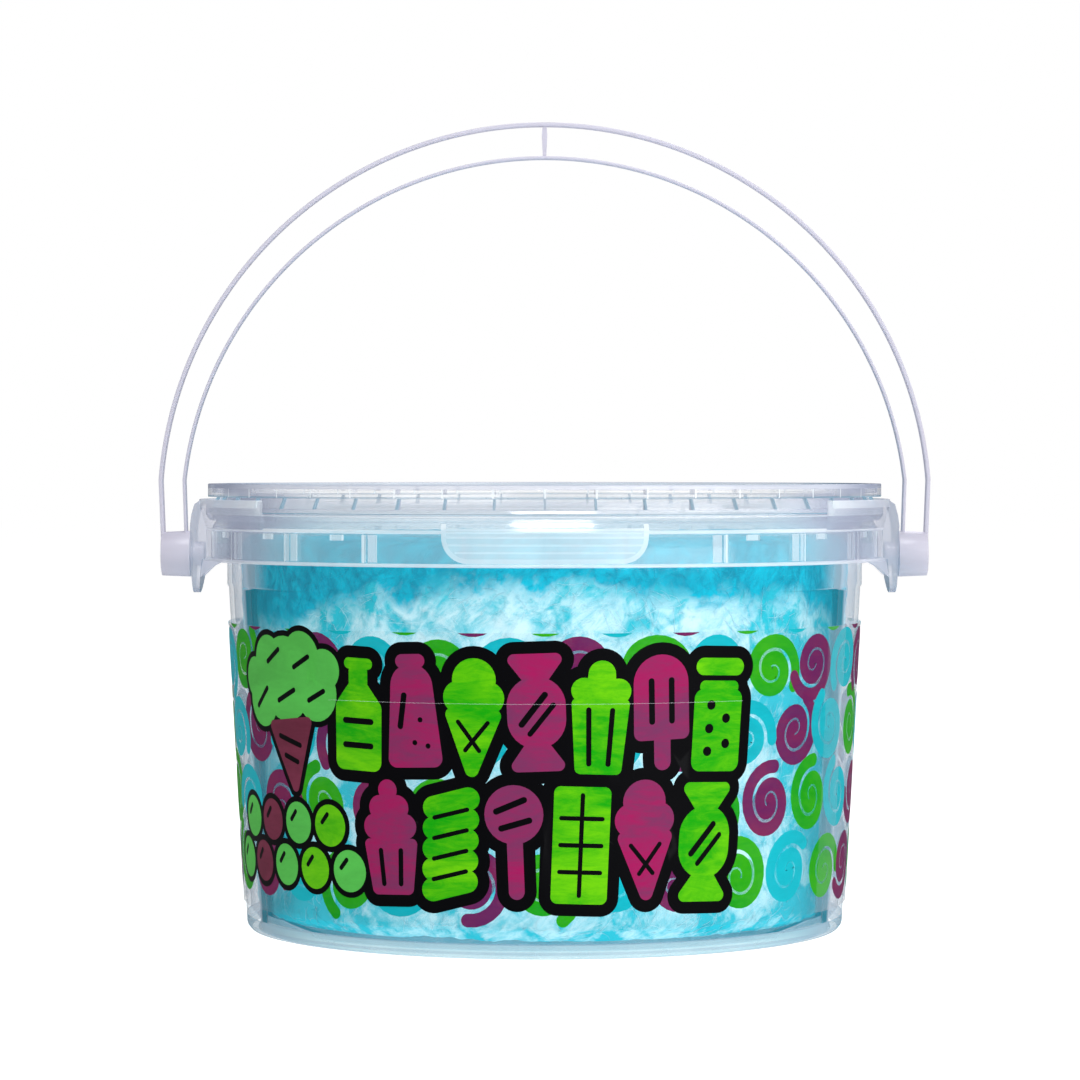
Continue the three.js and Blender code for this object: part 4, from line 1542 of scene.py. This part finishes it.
# The emblem is drawn like a sweet: a puff of candy floss on a cone, over a heap of round drops.
PUFF = [[(0, 8, 9)], *sides((9.6, 4.4, 6)), *sides((6, 12, 5.6)), *sides((12.6, 9, 4.4))]
CONE = [[*both((6.2, -1.6, 1.2)), (0, -14.6, 1.2)]]
CURLS = [
    [(x, z, 0.55), (end_x, end_z, 0.55)]
    for x, z, end_x, end_z in (
        (-12.2, 3.0, -7.4, 6.4),
        (-6.0, 12.0, -1.4, 14.2),
        (-3.0, 3.6, 2.8, 5.4),
        (3.6, 10.2, 8.4, 12.0),
        (7.4, 3.0, 12.0, 4.6),
        (-3.8, -3.8, 3.0, -6.2),
        (-2.4, -8.0, 1.6, -9.6),
    )
]
PUFF_PLACE, PUFF_TILT = (-61 * MM, 48.4 * MM), 0.1
HEAP = ((26.2, -79.8, 4), (17.0, -84.9, 5))  # height, first drop and number of each row
DROP, DROP_PITCH = 4.4, 10.2


class CANDYTUB_OT_emblem(bpy.types.Operator):
    """Print the emblem beside the sweets: a puff on a cone, and a heap of round drops"""

    bl_idname = "candytub.emblem"
    bl_label = "Emblem"

    def execute(self, context):
        settings = context.scene.candy_tub
        colours = settings.finish
        puff, cone, curls = (
            [shifted(discs, *PUFF_PLACE, PUFF_TILT) for discs in group] for group in (PUFF, CONE, CURLS)
        )
        spots = [(first + DROP_PITCH * column, z) for z, first, drops in HEAP for column in range(drops)]
        drops = [shifted([(x, z, DROP)], 0, 0) for x, z in spots]
        glints = [shifted([(x - 2.2, z + 0.6, 0.5), (x - 0.6, z + 2.3, 0.5)], 0, 0) for x, z in spots]
        inks = {
            "black": ink("emblem_black_ink", colours.black),
            "mint": ink("mint_ink", colours.mint, tuple(1.3 * part for part in colours.mint), 0.2),
            "wine": ink("wine_ink", colours.wine, tuple(1.6 * part for part in colours.wine), 0.2),
            "lime": ink("emblem_green_ink", colours.green, colours.lime, 0.2),
        }
        layers = (
            ("outline", "black", puff + cone + drops, 1.2 * MM),
            ("mint", "mint", puff + drops[0::2], 0),
            ("wine", "wine", cone + drops[1::4], 0),
            ("lime", "lime", drops[3::4], 0),
            ("curls", "black", curls + glints, 0),
        )
        for layer, (name, tone, groups, grow) in enumerate(layers):
            printed(f"emblem_{name}", flat_shapes(groups, grow), inks[tone], settings, 2 + 0.5 * layer)
        return {"FINISHED"}


# ---------- stage ----------
def soft_light(name, place, size, power):
    """A square light, its size in metres and its power in watts, that looks at the tub's middle."""
    light = bpy.data.lights.new(name, "AREA")
    light.shape = "SQUARE"
    light.size = size
    light.energy = power
    lamp = placed(name, light)
    lamp.location = place
    aim = Vector((0, 0, 0.06)) - Vector(place)
    lamp.rotation_euler = aim.to_track_quat("-Z", "Y").to_euler()


def surroundings(stage):
    """A white backdrop that lights the tub much less than it shows."""
    world = bpy.data.worlds.new("studio")
    world.use_nodes = True
    nodes, links = world.node_tree.nodes, world.node_tree.links
    path = nodes.new("ShaderNodeLightPath")
    strength = nodes.new("ShaderNodeMapRange")
    strength.inputs["To Min"].default_value = stage.sky
    links.new(path.outputs["Is Camera Ray"], strength.inputs["Value"])
    nodes["Background"].inputs["Color"].default_value = (1, 1, 1, 1)
    links.new(strength.outputs["Result"], nodes["Background"].inputs["Strength"])
    return world


class CANDYTUB_OT_stage(bpy.types.Operator):
    """Set up the floor, the soft light and the camera"""

    bl_idname = "candytub.stage"
    bl_label = "Stage"

    def execute(self, context):
        scene = context.scene
        stage = scene.candy_tub.stage
        bm = bmesh.new()
        bmesh.ops.create_circle(bm, cap_ends=True, segments=96, radius=stage.floor)
        floor = placed("floor", as_mesh("floor", bm))
        floor.data.materials.append(white_floor())
        floor.visible_glossy = False
        camera = placed("camera", bpy.data.cameras.new("camera"))
        camera.data.lens = stage.lens
        camera.data.sensor_width = 36
        camera.data.clip_start = 0.01
        camera.data.clip_end = 50
        camera.location = (-stage.aside, -stage.distance, stage.height)
        camera.rotation_euler = (math.pi / 2 - stage.dip, 0, 0)
        scene.camera = camera
        soft_light("key_light", (0.9, -1.0, 0.6), 1.2, 10.8)
        soft_light("top_light", (0.04, -0.5, 1.15), 0.39, 9.0)
        soft_light("back_light", (0.5, 1.1, 0.8), 0.9, 9.0)
        scene.world = surroundings(stage)
        scene.view_settings.view_transform = "Standard"
        scene.cycles.transparent_max_bounces = 48
        return {"FINISHED"}


class CANDYTUB_PT_panel(bpy.types.Panel):
    """Lists the pieces of the tub"""

    bl_idname = "CANDYTUB_PT_panel"
    bl_label = "Candy Tub"
    bl_space_type = "VIEW_3D"
    bl_region_type = "UI"
    bl_category = "Candy Tub"

    def draw(self, context):
        for operator in OPERATORS:
            self.layout.operator(operator.bl_idname)


GROUPS = (TubSizes, LidSizes, HandleSizes, CandySizes, LabelSizes, Finishes, StageSizes, TubSettings)
OPERATORS = (
    CANDYTUB_OT_tub,
    CANDYTUB_OT_lid,
    CANDYTUB_OT_handle,
    CANDYTUB_OT_candy,
    CANDYTUB_OT_threads,
    CANDYTUB_OT_film,
    CANDYTUB_OT_swirls,
    CANDYTUB_OT_sweets,
    CANDYTUB_OT_emblem,
    CANDYTUB_OT_stage,
)
CLASSES = (*GROUPS, *OPERATORS, CANDYTUB_PT_panel)


def register():
    for one in CLASSES:
        bpy.utils.register_class(one)
    bpy.types.Scene.candy_tub = bpy.props.PointerProperty(type=TubSettings)


def unregister():
    del bpy.types.Scene.candy_tub
    for one in reversed(CLASSES):
        bpy.utils.unregister_class(one)


def main():
    register()
    for operator in OPERATORS:
        group, name = operator.bl_idname.split(".")
        getattr(getattr(bpy.ops, group), name)()


if __name__ == "__main__":
    main()
